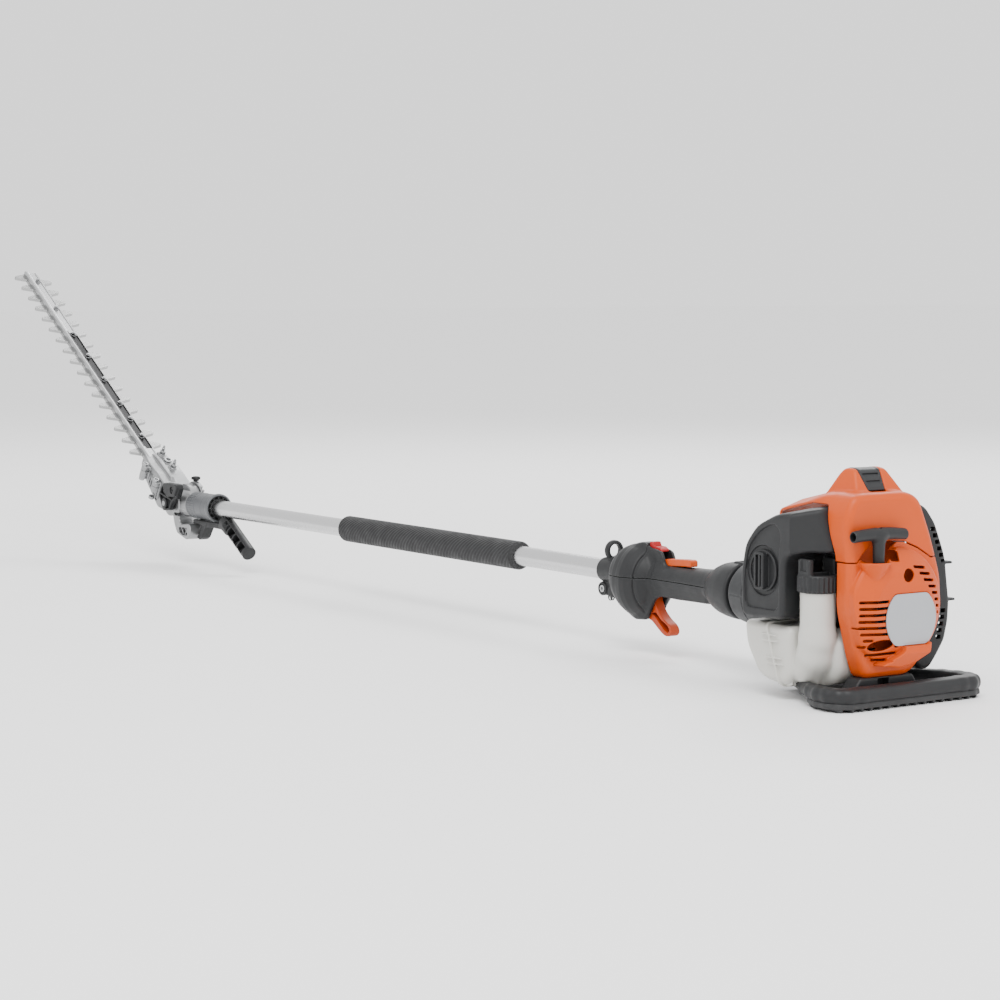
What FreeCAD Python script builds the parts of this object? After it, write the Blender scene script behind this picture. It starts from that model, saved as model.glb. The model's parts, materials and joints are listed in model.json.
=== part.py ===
import FreeCAD, Part
import math
import os

# Petrol pole hedge trimmer.  +X runs forward along the pole to the cutter, +Y to the left, +Z up.
# The origin is on the floor under the rear end of the stand, on the centre plane.  Millimetres.

V = FreeCAD.Vector
X_AXIS = V(1, 0, 0)
Y_AXIS = V(0, 1, 0)
Z_AXIS = V(0, 0, 1)

# Pole
POLE_Z = 90.0
TUBE_R = 12.0
TUBE_WALL = 1.5
TUBE_REAR_X = 200.0
TUBE_FRONT_X = 1578.0
SHAFT_R = 3.5
RUN_GAP = 0.05
FOAM_REAR_X = 695.0
FOAM_FRONT_X = 1113.0
FOAM_R = 17.5

# Cutting head: the tilt axis crosses the pole axis, and the blade plane passes through it.
TILT_X = 1614.0
TILT_REST_DEG = 31.8
TILT_MAX_UP = 45.0
NOTCH_STEP_DEG = 15.0
DRUM_R = 28.0
HALF_R = 19.5
SWING_R = 33.0
DRUM_Y = -5.5
FLANGE_Y = -21.0

# Cutter, measured along the blade from the tilt axis
TOOTH_PITCH = 31.8
FIRST_TOOTH = 643.6
LEFT_TEETH = 17
RIGHT_TEETH = 16
TOOTH_REACH = 29.6
TOOTH_ROOT = 15.0
TOOTH_TIP = 5.5
BLADE_HALF = 12.4
BLADE_TIP = 649.0
BLADE_TAIL = 70.0
BLADE_T = 2.4
BLADE_GAP = 0.05
STROKE = 8.0
RAIL_RIGHT = -8.6
RAIL_LEFT = 11.6
RAIL_LIP = 4.0
RAIL_T = 2.4
RAIL_LIP_T = 6.4
RAIL_TIP = 651.5
RAIL_ROOT = 97.0
BOLT_STATIONS = (623.4, 538.7, 459.2, 394.1, 326.5, 257.4, 214.2, 166.8)
BOLT_Y = -2.5
BOLT_R = 2.5

# Engine
CYL_X = 110.0
BORE_R = 17.0
PISTON_STROKE = 28.0
CRANK_R = 6.0
CRANKCASE_R = 36.0
PULLEY_X = 17.0
PULLEY_R = 24.0
ROPE_R = 1.75
ROPE_X = 6.0
ROPE_Y = 37.0
CAP_X = 59.0
CAP_Y = 70.0
SHELL = 3.0


def cyl(base, axis, radius, length):
    return Part.makeCylinder(radius, length, base, axis)


def cyl_x(x0, x1, radius, y=0.0, z=POLE_Z):
    return cyl(V(x0, y, z), X_AXIS, radius, x1 - x0)


def cyl_y(y0, y1, radius, x, z):
    return cyl(V(x, y0, z), Y_AXIS, radius, y1 - y0)


def cyl_z(z0, z1, radius, x, y):
    return cyl(V(x, y, z0), Z_AXIS, radius, z1 - z0)


def box(x0, x1, y0, y1, z0, z1):
    return Part.makeBox(x1 - x0, y1 - y0, z1 - z0, V(x0, y0, z0))


def ring_x(x0, x1, outer, inner, y=0.0, z=POLE_Z):
    return cyl_x(x0, x1, outer, y, z).cut(cyl_x(x0, x1, inner, y, z))


def prism_x(outline, x0, x1):
    """Outline of (y, z) points, extruded along X."""
    points = [V(x0, y, z) for y, z in outline]
    return Part.Face(Part.makePolygon(points + points[:1])).extrude(V(x1 - x0, 0, 0))


def prism_y(outline, y0, y1):
    """Outline of (x, z) points, extruded along Y."""
    points = [V(x, y0, z) for x, z in outline]
    return Part.Face(Part.makePolygon(points + points[:1])).extrude(V(0, y1 - y0, 0))


def prism_z(outline, z0, z1):
    """Outline of (x, y) points, extruded along Z."""
    points = [V(x, y, z0) for x, y in outline]
    return Part.Face(Part.makePolygon(points + points[:1])).extrude(V(0, 0, z1 - z0))


def turned_x(profile, y=0.0, z=POLE_Z):
    """Profile of (x, radius) points, turned about a line along X."""
    points = [V(x, y, z + r) for x, r in profile]
    points.append(V(profile[-1][0], y, z))
    points.append(V(profile[0][0], y, z))
    return Part.Face(Part.makePolygon(points + points[:1])).revolve(V(0, y, z), X_AXIS, 360)


def join(shapes):
    return shapes[0].multiFuse(shapes[1:]).removeSplitter() if len(shapes) > 1 else shapes[0]


def group(shapes):
    return Part.makeCompound(shapes)


def biggest(shape):
    return sorted(shape.Solids, key=lambda s: s.Volume)[-1]


def head(shape):
    """Places a piece made in the blade's own frame: X along the blade, Z off its top face."""
    placed = shape.copy()
    placed.rotate(V(0, 0, 0), Y_AXIS, -TILT_REST_DEG)
    placed.translate(V(TILT_X, 0, POLE_Z))
    return placed


def above(points):
    """(first, height over the pole axis) points as (first, z) points."""
    return [(a, POLE_Z + h) for a, h in points]


def save(name, shape):
    shape.exportStep(f"parts/{name}.step")
    volume = shape.Volume / 1000
    print(f"{name:22s} solids {len(shape.Solids):3d} volume {volume:9.2f} cm3 valid {shape.isValid()}")


# ---------------------------------------------------------------- pole

def drive_tube():
    return ring_x(TUBE_REAR_X, TUBE_FRONT_X, TUBE_R, TUBE_R - TUBE_WALL)


PINION_X0 = TILT_X - 22.0
PINION_X1 = TILT_X - 9.0
PINION_ROOT = 3.6
PINION_TIP = 5.0
PINION_TEETH = 9


def drive_shaft():
    shaft = cyl_x(TUBE_REAR_X - 22, PINION_X1, SHAFT_R)
    pieces = [shaft, cyl_x(PINION_X0, PINION_X1, PINION_ROOT)]
    for i in range(PINION_TEETH):
        tooth = box(PINION_X0, PINION_X1, -0.6, 0.6, POLE_Z + 3.0, POLE_Z + PINION_TIP)
        tooth.rotate(V(0, 0, POLE_Z), X_AXIS, i * 360.0 / PINION_TEETH)
        pieces.append(tooth)
    return join(pieces)


BUSH_XS = (420.0, 760.0, 1100.0, 1440.0)
BUSH_LENGTH = 22.0


def shaft_bushings():
    return group([ring_x(x, x + BUSH_LENGTH, TUBE_R - TUBE_WALL, SHAFT_R + RUN_GAP) for x in BUSH_XS])


def foam_grip():
    ends = 3.0
    profile = [(FOAM_REAR_X, FOAM_R - 2), (FOAM_REAR_X + ends, FOAM_R)]
    profile += [(FOAM_FRONT_X - ends, FOAM_R), (FOAM_FRONT_X, FOAM_R - 2)]
    return turned_x(profile).cut(cyl_x(FOAM_REAR_X, FOAM_FRONT_X, TUBE_R))


HANDLE_REAR_X = 308.0
GUARD_FRONT_X = 481.0
GUARD_PROFILE = [(HANDLE_REAR_X, 19.5), (330, 17.6), (412, 17.2), (424, 20), (434, 27), (439, 41)]
GUARD_PROFILE += [(447, 44), (455, 42.5), (463, 38.5), (470, 33), (476, 26), (GUARD_FRONT_X, 15)]
CLAMP_X0 = 483.0
CLAMP_X1 = 518.0
CLAMP_R = 14.5
EYE_X = 502.0
EYE_Z = POLE_Z + 23.5
EYE_R = 12.0
EYE_HOLE_R = 7.5
LUG_FRONT_X = 514.0
LUG_REAR_X = 496.0
LUG_Z = POLE_Z - 22.0
TIE_X = 507.0


def suspension_clamp():
    body = cyl_x(CLAMP_X0, CLAMP_X1, CLAMP_R)
    neck = prism_y(above([(488, 12), (514, 12), (507, 16), (497, 16)]), -4.0, 4.0)
    eye = ring_x(EYE_X - 4, EYE_X + 4, EYE_R, EYE_HOLE_R, 0, EYE_Z)
    lug_front = cyl_y(-9.0, 9.0, 8.0, LUG_FRONT_X, LUG_Z)
    lug_rear = cyl_y(-9.0, 9.0, 6.5, LUG_REAR_X, LUG_Z - 2)
    web = prism_y(above([(486, -12), (515, -11), (515, -24), (506, -30), (494, -29)]), -7.0, 7.0)
    small_ring = cyl_y(-2.0, 2.0, 4.5, TIE_X, POLE_Z - 32)
    clamp = join([body, neck, eye, lug_front, lug_rear, web, small_ring])
    clamp = clamp.cut(cyl_x(CLAMP_X0 - 5, CLAMP_X1 + 5, TUBE_R)).cut(turned_x(GUARD_PROFILE))
    clamp = clamp.cut(cyl_y(-5.0, 5.0, 2.2, TIE_X, POLE_Z - 33))
    slot = box(CLAMP_X0, CLAMP_X1, -1.0, 1.0, POLE_Z - 31, POLE_Z - 8)
    return clamp.cut(slot).cut(cyl_y(4.0, 9.5, 4.4, LUG_FRONT_X, LUG_Z))


# ---------------------------------------------------------------- rear handle

TRIGGER_X = 424.0
TRIGGER_Z = POLE_Z - 25.0
LOCKOUT_X = 408.0
LOCKOUT_Z = POLE_Z + 17.0


def switch_hump():
    outline = above([(392, 12), (398, 34), (402, 38), (436, 40), (447, 44), (458, 42), (462, 12)])
    return prism_y(outline, -9.0, 9.0)


def handle_shell():
    """Grip and bell-shaped hand guard in one, before it is split into two mouldings."""
    shell = turned_x(GUARD_PROFILE)
    skirt = prism_y(above([(405, -12), (410, -34), (424, -42), (446, -45), (450, -12)]), -11.0, 11.0)
    shell = join([shell, switch_hump(), skirt])
    shell = shell.cut(cyl_x(HANDLE_REAR_X, GUARD_FRONT_X, TUBE_R))
    trigger_pocket = box(398, 437, -7.4, 7.4, POLE_Z - 50, POLE_Z - 13.5)
    lockout_slot = box(346, 417, -5.4, 5.4, POLE_Z + 12.3, POLE_Z + 30)
    switch_pocket = box(401, 434, -6.2, 6.2, POLE_Z + 31, POLE_Z + 50)
    inside_guard = ring_x(450.0, 468.0, 27.0, 15.0)
    return shell.cut(trigger_pocket).cut(lockout_slot).cut(switch_pocket).cut(inside_guard)


def throttle_handle_upper():
    return handle_shell().common(box(HANDLE_REAR_X, GUARD_FRONT_X, -60, 60, POLE_Z, POLE_Z + 70))


def throttle_handle_lower():
    return handle_shell().common(box(HANDLE_REAR_X, GUARD_FRONT_X, -60, 60, POLE_Z - 70, POLE_Z))


def throttle_trigger():
    outline = above([(419, -19), (430, -20), (434, -30), (433, -43), (427, -50), (419, -48)])
    outline += above([(396, -66), (388, -68), (384, -62), (388, -55), (412, -36)])
    lever = prism_y(outline, -6.5, 6.5)
    hollow = prism_y(above([(416, -44), (397, -61), (391, -60), (393, -56), (412, -41)]), -4.0, 6.5)
    return lever.cut(hollow).cut(cyl_y(-6.5, 6.5, 2.05, TRIGGER_X, TRIGGER_Z))


def trigger_spring():
    """Closed outer shape of the torsion spring beside the trigger's pivot."""
    return cyl_y(-3.0, 3.0, 2.0, 404.0, POLE_Z - 17)


def trigger_lockout():
    outline = above([(413, 15.5), (413, 21), (352, 27.5), (350, 26), (350, 20.5), (400, 14.2), (408, 13.2)])
    return prism_y(outline, -5.2, 5.2).cut(cyl_y(-6, 6, 1.6, LOCKOUT_X, LOCKOUT_Z))


def stop_switch():
    outline = above([(404, 31.2), (404, 35), (412, 40), (424, 38), (426, 44), (430, 44), (430, 31.2)])
    return prism_y(outline, -6.0, 6.0)


# ---------------------------------------------------------------- engine coupling

RING_X0 = 250.0
RING_X1 = 255.0


def adapter_cone():
    cone = turned_x([(RING_X1, 31.8), (277, 30.8), (290, 28.4), (300, 24.5), (305, 21),
                     (HANDLE_REAR_X, 19.5)])
    return cone.cut(cyl_x(RING_X1, HANDLE_REAR_X, TUBE_R))


def damper_ring():
    return ring_x(RING_X0, RING_X1, 28.5, TUBE_R)


CLUTCH_REAR_X = 142.0


def clutch_housing():
    profile = [(CLUTCH_REAR_X, 40), (150, 42), (180, 40), (215, 37), (235, 34.5), (RING_X0, 33)]
    housing = turned_x(profile)
    cavity = turned_x([(CLUTCH_REAR_X, 32), (176, 32), (186, 20), (198, 15)])
    return housing.cut(cavity).cut(cyl_x(CLUTCH_REAR_X, RING_X0, TUBE_R))


def clutch_drum():
    drum = ring_x(150, 172, 30.0, 27.5)
    plate = cyl_x(172, 175, 30.0)
    hub = cyl_x(175, 185, 9.0)
    return join([drum, plate, hub]).cut(cyl_x(172, 200, SHAFT_R))


def clutch_shoes():
    """Two weighted shoes on a boss on the front end of the crankshaft."""
    disc = ring_x(153, 166, 26.9, CRANK_R)
    gap = box(150, 170, -30, 30, POLE_Z - 2, POLE_Z + 2).cut(cyl_x(150, 170, 12.0))
    return disc.cut(gap)


# ---------------------------------------------------------------- engine inside

def crankcase():
    case = cyl_x(78, CLUTCH_REAR_X, CRANKCASE_R)
    pad = box(84, 136, -24, 24, POLE_Z + 20, POLE_Z + 40)
    case = join([case, pad])
    case = case.cut(cyl_x(84, 136, 28.0)).cut(cyl_z(POLE_Z, POLE_Z + 40, BORE_R + 0.8, CYL_X, 0))
    case = case.cut(ring_x(100, 120, 60.0, CRANKCASE_R))
    return case.cut(cyl_x(70, 150, CRANK_R + RUN_GAP))


CYL_BASE = POLE_Z + 40.0
CYL_TOP = POLE_Z + 100.0
FIN_COUNT = 8


def cylinder():
    base = box(84, 136, -24, 24, CYL_BASE, CYL_BASE + 4)
    barrel = cyl_z(CYL_BASE, CYL_TOP, 21.0, CYL_X, 0)
    pieces = [base, barrel]
    for i in range(FIN_COUNT):
        z = CYL_BASE + 10 + i * 6.4
        pieces.append(box(CYL_X - 30, CYL_X + 30, -30, 30, z, z + 2.0))
    block = join(pieces).cut(cyl_z(CYL_BASE, CYL_TOP - 7, BORE_R, CYL_X, 0))
    return block.cut(cyl_z(CYL_TOP - 8, CYL_TOP + 4, 5.0, CYL_X, 0))


PISTON_TOP = CYL_TOP - 9.0
PISTON_H = 26.0


def piston():
    body = cyl_z(PISTON_TOP - PISTON_H, PISTON_TOP, BORE_R - RUN_GAP, CYL_X, 0)
    hollow = cyl_z(PISTON_TOP - PISTON_H, PISTON_TOP - 5, BORE_R - 3, CYL_X, 0)
    pin = cyl_y(-14.5, 14.5, 4.0, CYL_X, PISTON_TOP - 14)
    groove = cyl_z(PISTON_TOP - 5, PISTON_TOP - 3.5, BORE_R + 1, CYL_X, 0)
    groove = groove.cut(cyl_z(PISTON_TOP - 6, PISTON_TOP - 3, BORE_R - 1.2, CYL_X, 0))
    return join([body.cut(hollow), pin]).cut(groove)


def connecting_rod():
    """The rod is left open at its crank end: it stops above the circle that the crank pin turns in."""
    small_end = cyl_y(-5, 5, 7.0, CYL_X, PISTON_TOP - 14)
    shank = box(CYL_X - 3, CYL_X + 3, -5, 5, POLE_Z + 52, PISTON_TOP - 14)
    return join([small_end, shank]).cut(cyl_y(-6, 6, 4.0, CYL_X, PISTON_TOP - 14))


CRANK_THROW = PISTON_STROKE / 2


def crankshaft():
    rear = cyl_x(32, 102, CRANK_R)
    front = cyl_x(118, 167, CRANK_R)
    pin = cyl_x(100, 120, 5.0, 0, POLE_Z + CRANK_THROW)
    pieces = [rear, front, pin]
    for x in (96, 118):
        web = cyl_x(x, x + 6, 22.0).cut(box(x, x + 6, 9, 30, POLE_Z, POLE_Z + 30))
        pieces.append(web.cut(box(x, x + 6, -30, -9, POLE_Z, POLE_Z + 30)))
    return join(pieces)


FLYWHEEL_FINS = 14


def flywheel():
    disc = cyl_x(46, 56, 40.0)
    pieces = [disc]
    for i in range(FLYWHEEL_FINS):
        fin = box(38, 46.5, -1.2, 1.2, POLE_Z + 22, POLE_Z + 39)
        fin.rotate(V(0, 0, POLE_Z), X_AXIS, i * 360.0 / FLYWHEEL_FINS)
        pieces.append(fin)
    return join(pieces).cut(cyl_x(30, 60, CRANK_R))


def ignition_coil():
    body = box(45, 58, -16, 16, POLE_Z + 52, POLE_Z + 72)
    legs = [box(47, 56, y, y + 7, POLE_Z + 41.5, POLE_Z + 53) for y in (-15, 8)]
    return join([body] + legs).cut(cyl_x(40, 60, 42.0))


def spark_plug():
    thread = cyl_z(CYL_TOP - 7, CYL_TOP, 5.0, CYL_X, 0)
    hexagon = cyl_z(CYL_TOP, CYL_TOP + 4, 9.0, CYL_X, 0)
    boot = cyl_z(CYL_TOP + 4, CYL_TOP + 7, 7.0, CYL_X, 0)
    return join([thread, hexagon, boot])


def muffler():
    body = box(78, 142, -64, -36, POLE_Z + 12, POLE_Z + 74)
    body = body.makeFillet(7.0, [e for e in body.Edges if abs(e.tangentAt(0).y) > 0.9])
    flange = box(98, 122, -36, -30.2, POLE_Z + 52, POLE_Z + 72)
    outlet = cyl_y(-68, -64, 5.0, 128, POLE_Z + 60)
    return join([body, flange, outlet])


def carburettor():
    body = box(94, 128, 34, 52, POLE_Z + 26, POLE_Z + 60)
    bowl = cyl_z(POLE_Z + 18, POLE_Z + 26, 11.0, 111, 44)
    throat = cyl_y(30, 56, 9.0, 111, POLE_Z + 44)
    return join([body, bowl, throat]).cut(cyl_y(30, 56, 6.5, 111, POLE_Z + 44))


def air_filter():
    frame = box(92, 137, 56, 82, POLE_Z + 12, POLE_Z + 74)
    pleats = [box(94 + 7 * i, 97 + 7 * i, 78, 83, POLE_Z + 16, POLE_Z + 72) for i in range(6)]
    return frame.cut(group(pleats))


# ---------------------------------------------------------------- engine covers

COVER_REAR_X = 15.0


def rear_outline(inset):
    """Outline of the starter cover behind its seam, drawn in from the edge by inset."""
    i = inset
    points = [(65 - i, 56 - i), (65 - i, 8), (54 - i, -38), (45 - i, -60 + i), (-19 + i / 2, -60 + i)]
    points += [(-59 + i, 0), (-57 + i, 40), (-51 + i, 55 - i), (-42, 55 - i), (-10, 68 - i), (37, 73 - i)]
    points += [(57, 56 - i)]
    return above(points)


DISC_Y = 8.0
DISC_Z = POLE_Z + 6.0


def starter_disc(inset):
    profile = [(-1 + inset, 38 - inset), (3 + inset, 46 - inset), (COVER_REAR_X + 1, 59 - inset)]
    profile += [(COVER_REAR_X + 4, 59 - inset)]
    return turned_x(profile, DISC_Y, DISC_Z).common(prism_x(rear_outline(inset), -20, 40))


def starter_cover():
    outer = join([prism_x(rear_outline(0), COVER_REAR_X, 36), starter_disc(0)])
    boss = prism_x(above([(52, 55), (22, 53), (29, 28), (44, 28)]), -5.0, 17.0)
    outer = join([outer, boss])
    inner = join([prism_x(rear_outline(SHELL), COVER_REAR_X + SHELL, 36), starter_disc(SHELL)])
    cover = outer.cut(inner)
    post = cyl_x(1, 30, 5.0)
    cover = join([cover, post])
    slots = []
    for i in range(8):
        h = 15 - 4.6 * i
        slots.append(box(-10, 14, 22, 62 - 1.2 * abs(i - 2), POLE_Z + h, POLE_Z + h + 1.8))
    for i in range(8):
        slot = box(-10, 14, -46, -38 - 0.6 * i, POLE_Z + 44 - 7 * i, POLE_Z + 46.5 - 7 * i)
        slots.append(slot)
    cover = cover.cut(group(slots))
    for y, h, r in ((-11, 40, 6.0), (24, -30, 7.5)):
        cover = cover.cut(cyl_x(-10, 18, r, y, POLE_Z + h))
    rope_hole = cyl_z(POLE_Z + 20, POLE_Z + 60, 3.5, ROPE_X, ROPE_Y)
    funnel = Part.makeCone(3.5, 10.5, 11, V(ROPE_X, ROPE_Y, POLE_Z + 46), Z_AXIS)
    return cover.cut(rope_hole).cut(funnel)


def top_outline(inset):
    i = inset
    left = [(65 - i, 56.5), (69.5 - i, 84), (68 - i, 104), (59 - i, 122 - i), (50 - i, 127 - i)]
    right = [(-10 + i, 127 - i), (-29 + i, 116 - i), (-45 + i, 80), (-51 + i, 62), (-51 + i, 55.5)]
    seam = [(-42, 55.5), (-10, 68.5), (37, 73.5), (57, 56.5)]
    return above(left + right + seam)


def top_side(inset):
    i = inset
    points = [(COVER_REAR_X + i, 50), (COVER_REAR_X + i, 119 - i), (38, 127 - i), (60, 127 - i),
              (84, 123 - i)]
    points += [(120, 116 - i), (150, 109 - i), (172, 101 - i), (190 - i, 90 - i), (190 - i, 50)]
    return above(points)


def hump(inset):
    i = inset
    side = above([(30 + i, 122), (47, 147 - i), (53, 149.5 - i), (64, 149 - i), (72, 144 - i),
                  (98 - i, 110), (98, 100), (30, 100)])
    rear = above([(-24 + i, 110), (-6 + i, 149 - i), (37 - i, 150 - i), (50 - i, 110)])
    return prism_y(side, -30, 60).common(prism_x(rear, 0, 200))


def top_solid(inset):
    seam_front = prism_x(top_outline(inset), COVER_REAR_X, 196)
    return join([seam_front.common(prism_y(top_side(inset), -70, 90)), hump(inset)])


INSERT_FLOOR = [(34.6, 126), (48.4, 145.6), (53, 147.7), (63, 147.2)]


def top_cover():
    cover = top_solid(0).cut(top_solid(SHELL))
    low_front = box(36, 200, -80, 100, POLE_Z + 40, POLE_Z + 80)
    cover = cover.cut(low_front.common(box(36, 200, 30, 100, 0, 400)))
    cover = cover.cut(box(92, 200, -60, 30, POLE_Z + 40, POLE_Z + 80))
    cover = cover.cut(box(36, 200, 40, 100, POLE_Z + 40, POLE_Z + 112))
    cover = cover.cut(box(36, 200, -80, -30, POLE_Z + 40, POLE_Z + 112))
    recess = prism_y(above(INSERT_FLOOR + [(63, 160), (10, 160), (10, 126)]), 2, 28)
    cover = cover.cut(recess)
    return biggest(cover)


def top_insert():
    return prism_y(above(INSERT_FLOOR + [(63, 150.4), (53, 150.8), (46, 148.4), (31.4, 127.4)]), 2, 28)


BADGE_X = -1.0


def starter_badge():
    disc = cyl_x(BADGE_X - 2, BADGE_X, 33.0, 0, POLE_Z + 1)
    return disc.common(box(-10, 10, -40, 40, POLE_Z - 26, POLE_Z + 27))


HANDLE_Z = POLE_Z + 85.0
BAR_HALF = 36.0
STEM_Z = POLE_Z + 54.0


def starter_handle():
    bar = cyl_y(ROPE_Y - BAR_HALF, ROPE_Y + BAR_HALF, 8.2, ROPE_X, HANDLE_Z)
    ends = [e for e in bar.Edges if len(e.Vertexes) == 1]
    bar = bar.makeFillet(3.0, ends)
    stem = Part.makeCone(5.5, 7.5, HANDLE_Z - STEM_Z, V(ROPE_X, ROPE_Y, STEM_Z), Z_AXIS)
    return join([bar, stem]).cut(cyl_z(STEM_Z, STEM_Z + 12, ROPE_R + 0.3, ROPE_X, ROPE_Y))


def starter_rope():
    """Rope from its guide in the cover to the knot inside the handle's stem."""
    return cyl_z(STEM_Z - 20, STEM_Z + 12, ROPE_R, ROPE_X, ROPE_Y)


def starter_pulley():
    wheel = cyl_x(11, 23, PULLEY_R)
    groove = ring_x(14, 20, PULLEY_R + 1, PULLEY_R - 6)
    return wheel.cut(groove).cut(cyl_x(5, 30, 5.0 + RUN_GAP))


def recoil_spring():
    return ring_x(24, 30, 21.0, 6.5)


COVER_LEFT_Y = 97.0


def filter_side(inset):
    i = inset
    points = [(150 - i, -8 + i), (82 + i, -4 + i), (82 + i, 60 + i), (37 + i, 63 + i), (37 + i, 111 - i)]
    points += [(76, 112 - i), (128 - i, 90 - i), (150 - i, 68)]
    return above(points)


def filter_plan(inset):
    i = inset
    return [(37 + i, 40), (37 + i, 66 - i), (76 + i, COVER_LEFT_Y - i), (152, COVER_LEFT_Y - i), (152, 40)]


def air_filter_cover():
    outer = prism_y(filter_side(0), 43, COVER_LEFT_Y).common(prism_z(filter_plan(0), 0, 300))
    inner = prism_y(filter_side(SHELL), 43, COVER_LEFT_Y - 7).common(prism_z(filter_plan(SHELL), 0, 300))
    cover = outer.cut(inner)
    cover = cover.cut(top_solid(0)).cut(prism_x(rear_outline(0), 0, 36))
    recess = cyl_y(COVER_LEFT_Y - 2.5, COVER_LEFT_Y + 5, 24.0, 116, POLE_Z + 42)
    cover = cover.cut(recess).cut(cyl_y(80, 100, 4.0, 116, POLE_Z + 42))
    return biggest(cover)


def filter_cover_knob():
    knob = cyl_y(COVER_LEFT_Y - 2.4, COVER_LEFT_Y + 2, 20.0, 116, POLE_Z + 42)
    grip = box(112, 120, COVER_LEFT_Y - 2, COVER_LEFT_Y + 8, POLE_Z + 24, POLE_Z + 60)
    stud = cyl_y(COVER_LEFT_Y - 14, COVER_LEFT_Y - 2.4, 3.95, 116, POLE_Z + 42)
    return join([knob, grip, stud])


def tank_body(inset):
    i = inset
    side = above([(158 - i, -15 - i), (152 - i, -40), (133 - i, -70 + i), (72, -75 + i),
                  (40, -64 + i), (24 + i, -48)])
    side += above([(24 + i, -24 - i), (66, -14 - i), (120, -15 - i)])
    left = prism_y(side, 40 + i, 90 - i)
    low_side = above([(140 - i, -42 - i), (132 - i, -68 + i), (74, -72 + i), (54 + i, -64 + i),
                      (54 + i, -42 - i)])
    low = prism_y(low_side, -40 + i, 60)
    neck = cyl(V(CAP_X, CAP_Y, POLE_Z - 40), Z_AXIS, 17.0 - i, 40 + 24)
    return join([left, low, neck])


def fuel_tank():
    tank = tank_body(0).cut(tank_body(2.5)).cut(cyl_z(POLE_Z, POLE_Z + 30, 14.5, CAP_X, CAP_Y))
    tank = tank.cut(prism_x(rear_outline(-1.5), -30, 38)).cut(cyl_x(60, 200, CRANKCASE_R + 6.5))
    return biggest(tank)


def fuel_cap():
    base = POLE_Z + 24
    rim = cyl_z(base, base + 18, 21.0, CAP_X, CAP_Y)
    ribs = []
    for i in range(24):
        rib = box(20.4, 22.0, -1.0, 1.0, base, base + 16)
        rib.rotate(V(0, 0, 0), Z_AXIS, i * 15.0)
        rib.translate(V(CAP_X, CAP_Y, 0))
        ribs.append(rib)
    ears = [box(CAP_X - 6, CAP_X + 6, y, y + 5, base + 15, base + 32) for y in (CAP_Y - 20, CAP_Y + 15)]
    plug = cyl_z(base - 8, base, 14.4, CAP_X, CAP_Y)
    return join([rim, plug] + ribs + ears)


def guard_outline(inset):
    i = inset
    points = [(-31 - i, 112 - i), (-60 + i, 106 - i), (-72 + i, 88), (-85 + i, 48), (-90 + i, 4),
              (-87 + i, -30)]
    points += [(-74 + i, -48), (-60 + i, -62 + i), (-40 + i / 2, -66 + i), (-28 - i, -62 + i),
               (-28 - i, 112 - i)]
    return above(points)


def muffler_guard():
    shell = prism_x(guard_outline(0), 40, 150).cut(prism_x(guard_outline(3.0), 43, 147))
    shell = shell.cut(box(0, 200, -70, 0, 0, 400).common(prism_x(guard_outline(3.0), 0, 200)))
    shell = shell.cut(box(38, 152, -31.5, 0, POLE_Z - 70, POLE_Z + 120))
    shell = shell.cut(box(38, 152, -42, -30, POLE_Z - 70, POLE_Z - 40))
    slots = []
    for i in range(6):
        z = POLE_Z + 58 - 8 * i - (14 if i > 2 else 0)
        for k in range(6):
            slots.append(box(52 + 15 * k, 62 + 15 * k, -98, -62, z, z + 4.5))
    fins = [box(40, 146, -97, -83, POLE_Z + h, POLE_Z + h + 3) for h in (45, 6)]
    return join([shell.cut(group(slots))] + fins)


# ---------------------------------------------------------------- stand

STAND_HALF = 106.0


def stand():
    rear_bar = box(-9, 17, -STAND_HALF, STAND_HALF, 8, 28)
    rear_bar = rear_bar.makeFillet(8.0, [e for e in rear_bar.Edges if abs(e.tangentAt(0).x) > 0.9])
    arm_side = prism_y([(10, 8), (10, 26), (22, 26), (54, 14), (150, 13),
                        (150, 8)], -STAND_HALF, STAND_HALF)
    arms = []
    for side in (-1, 1):
        plan = [(10, STAND_HALF * side), (60, 100 * side), (150, 52 * side), (150, 34 * side),
                (52, 80 * side)]
        plan.append((10, 84 * side))
        arms.append(prism_z(plan, 8, 28).common(arm_side))
    plate = box(8, 150, -52, 52, 8, 13)
    post = box(17, 36, -16, 50, 12, POLE_Z - 60)
    return join([rear_bar, plate, post] + arms)


TREAD_RIBS = 17
TREAD_HALF = 102.0


def stand_tread():
    pad = box(-8, 16, -TREAD_HALF, TREAD_HALF, 3, 8)
    pieces = [pad]
    pitch = 2 * TREAD_HALF / TREAD_RIBS
    for i in range(TREAD_RIBS):
        y = -TREAD_HALF + pitch * i + 1.5
        pieces.append(box(-8, 16, y, y + pitch - 3, 0, 3.5))
    return join(pieces)


def screw(base, axis, radius, length):
    head_piece = cyl(base, axis, radius, length)
    tip = base + axis * (length - 1.8)
    socket = cyl(tip, axis, radius * 0.5, 2.0)
    return head_piece.cut(socket)


def case_screws():
    screws = [screw(V(LUG_FRONT_X, 4.2, LUG_Z), Y_AXIS, 4.2, 4.5)]
    for x in (352, 384):
        screws.append(screw(V(x, 0, POLE_Z - 17.6), Z_AXIS * -1, 3.0, 2.0))
    return group(screws)


# ---------------------------------------------------------------- joint between pole and head

COLLAR_X0 = 1489.0
KNURL_X0 = 1537.0
COLLAR_X1 = 1562.0
SPIGOT_R = 16.0


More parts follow.
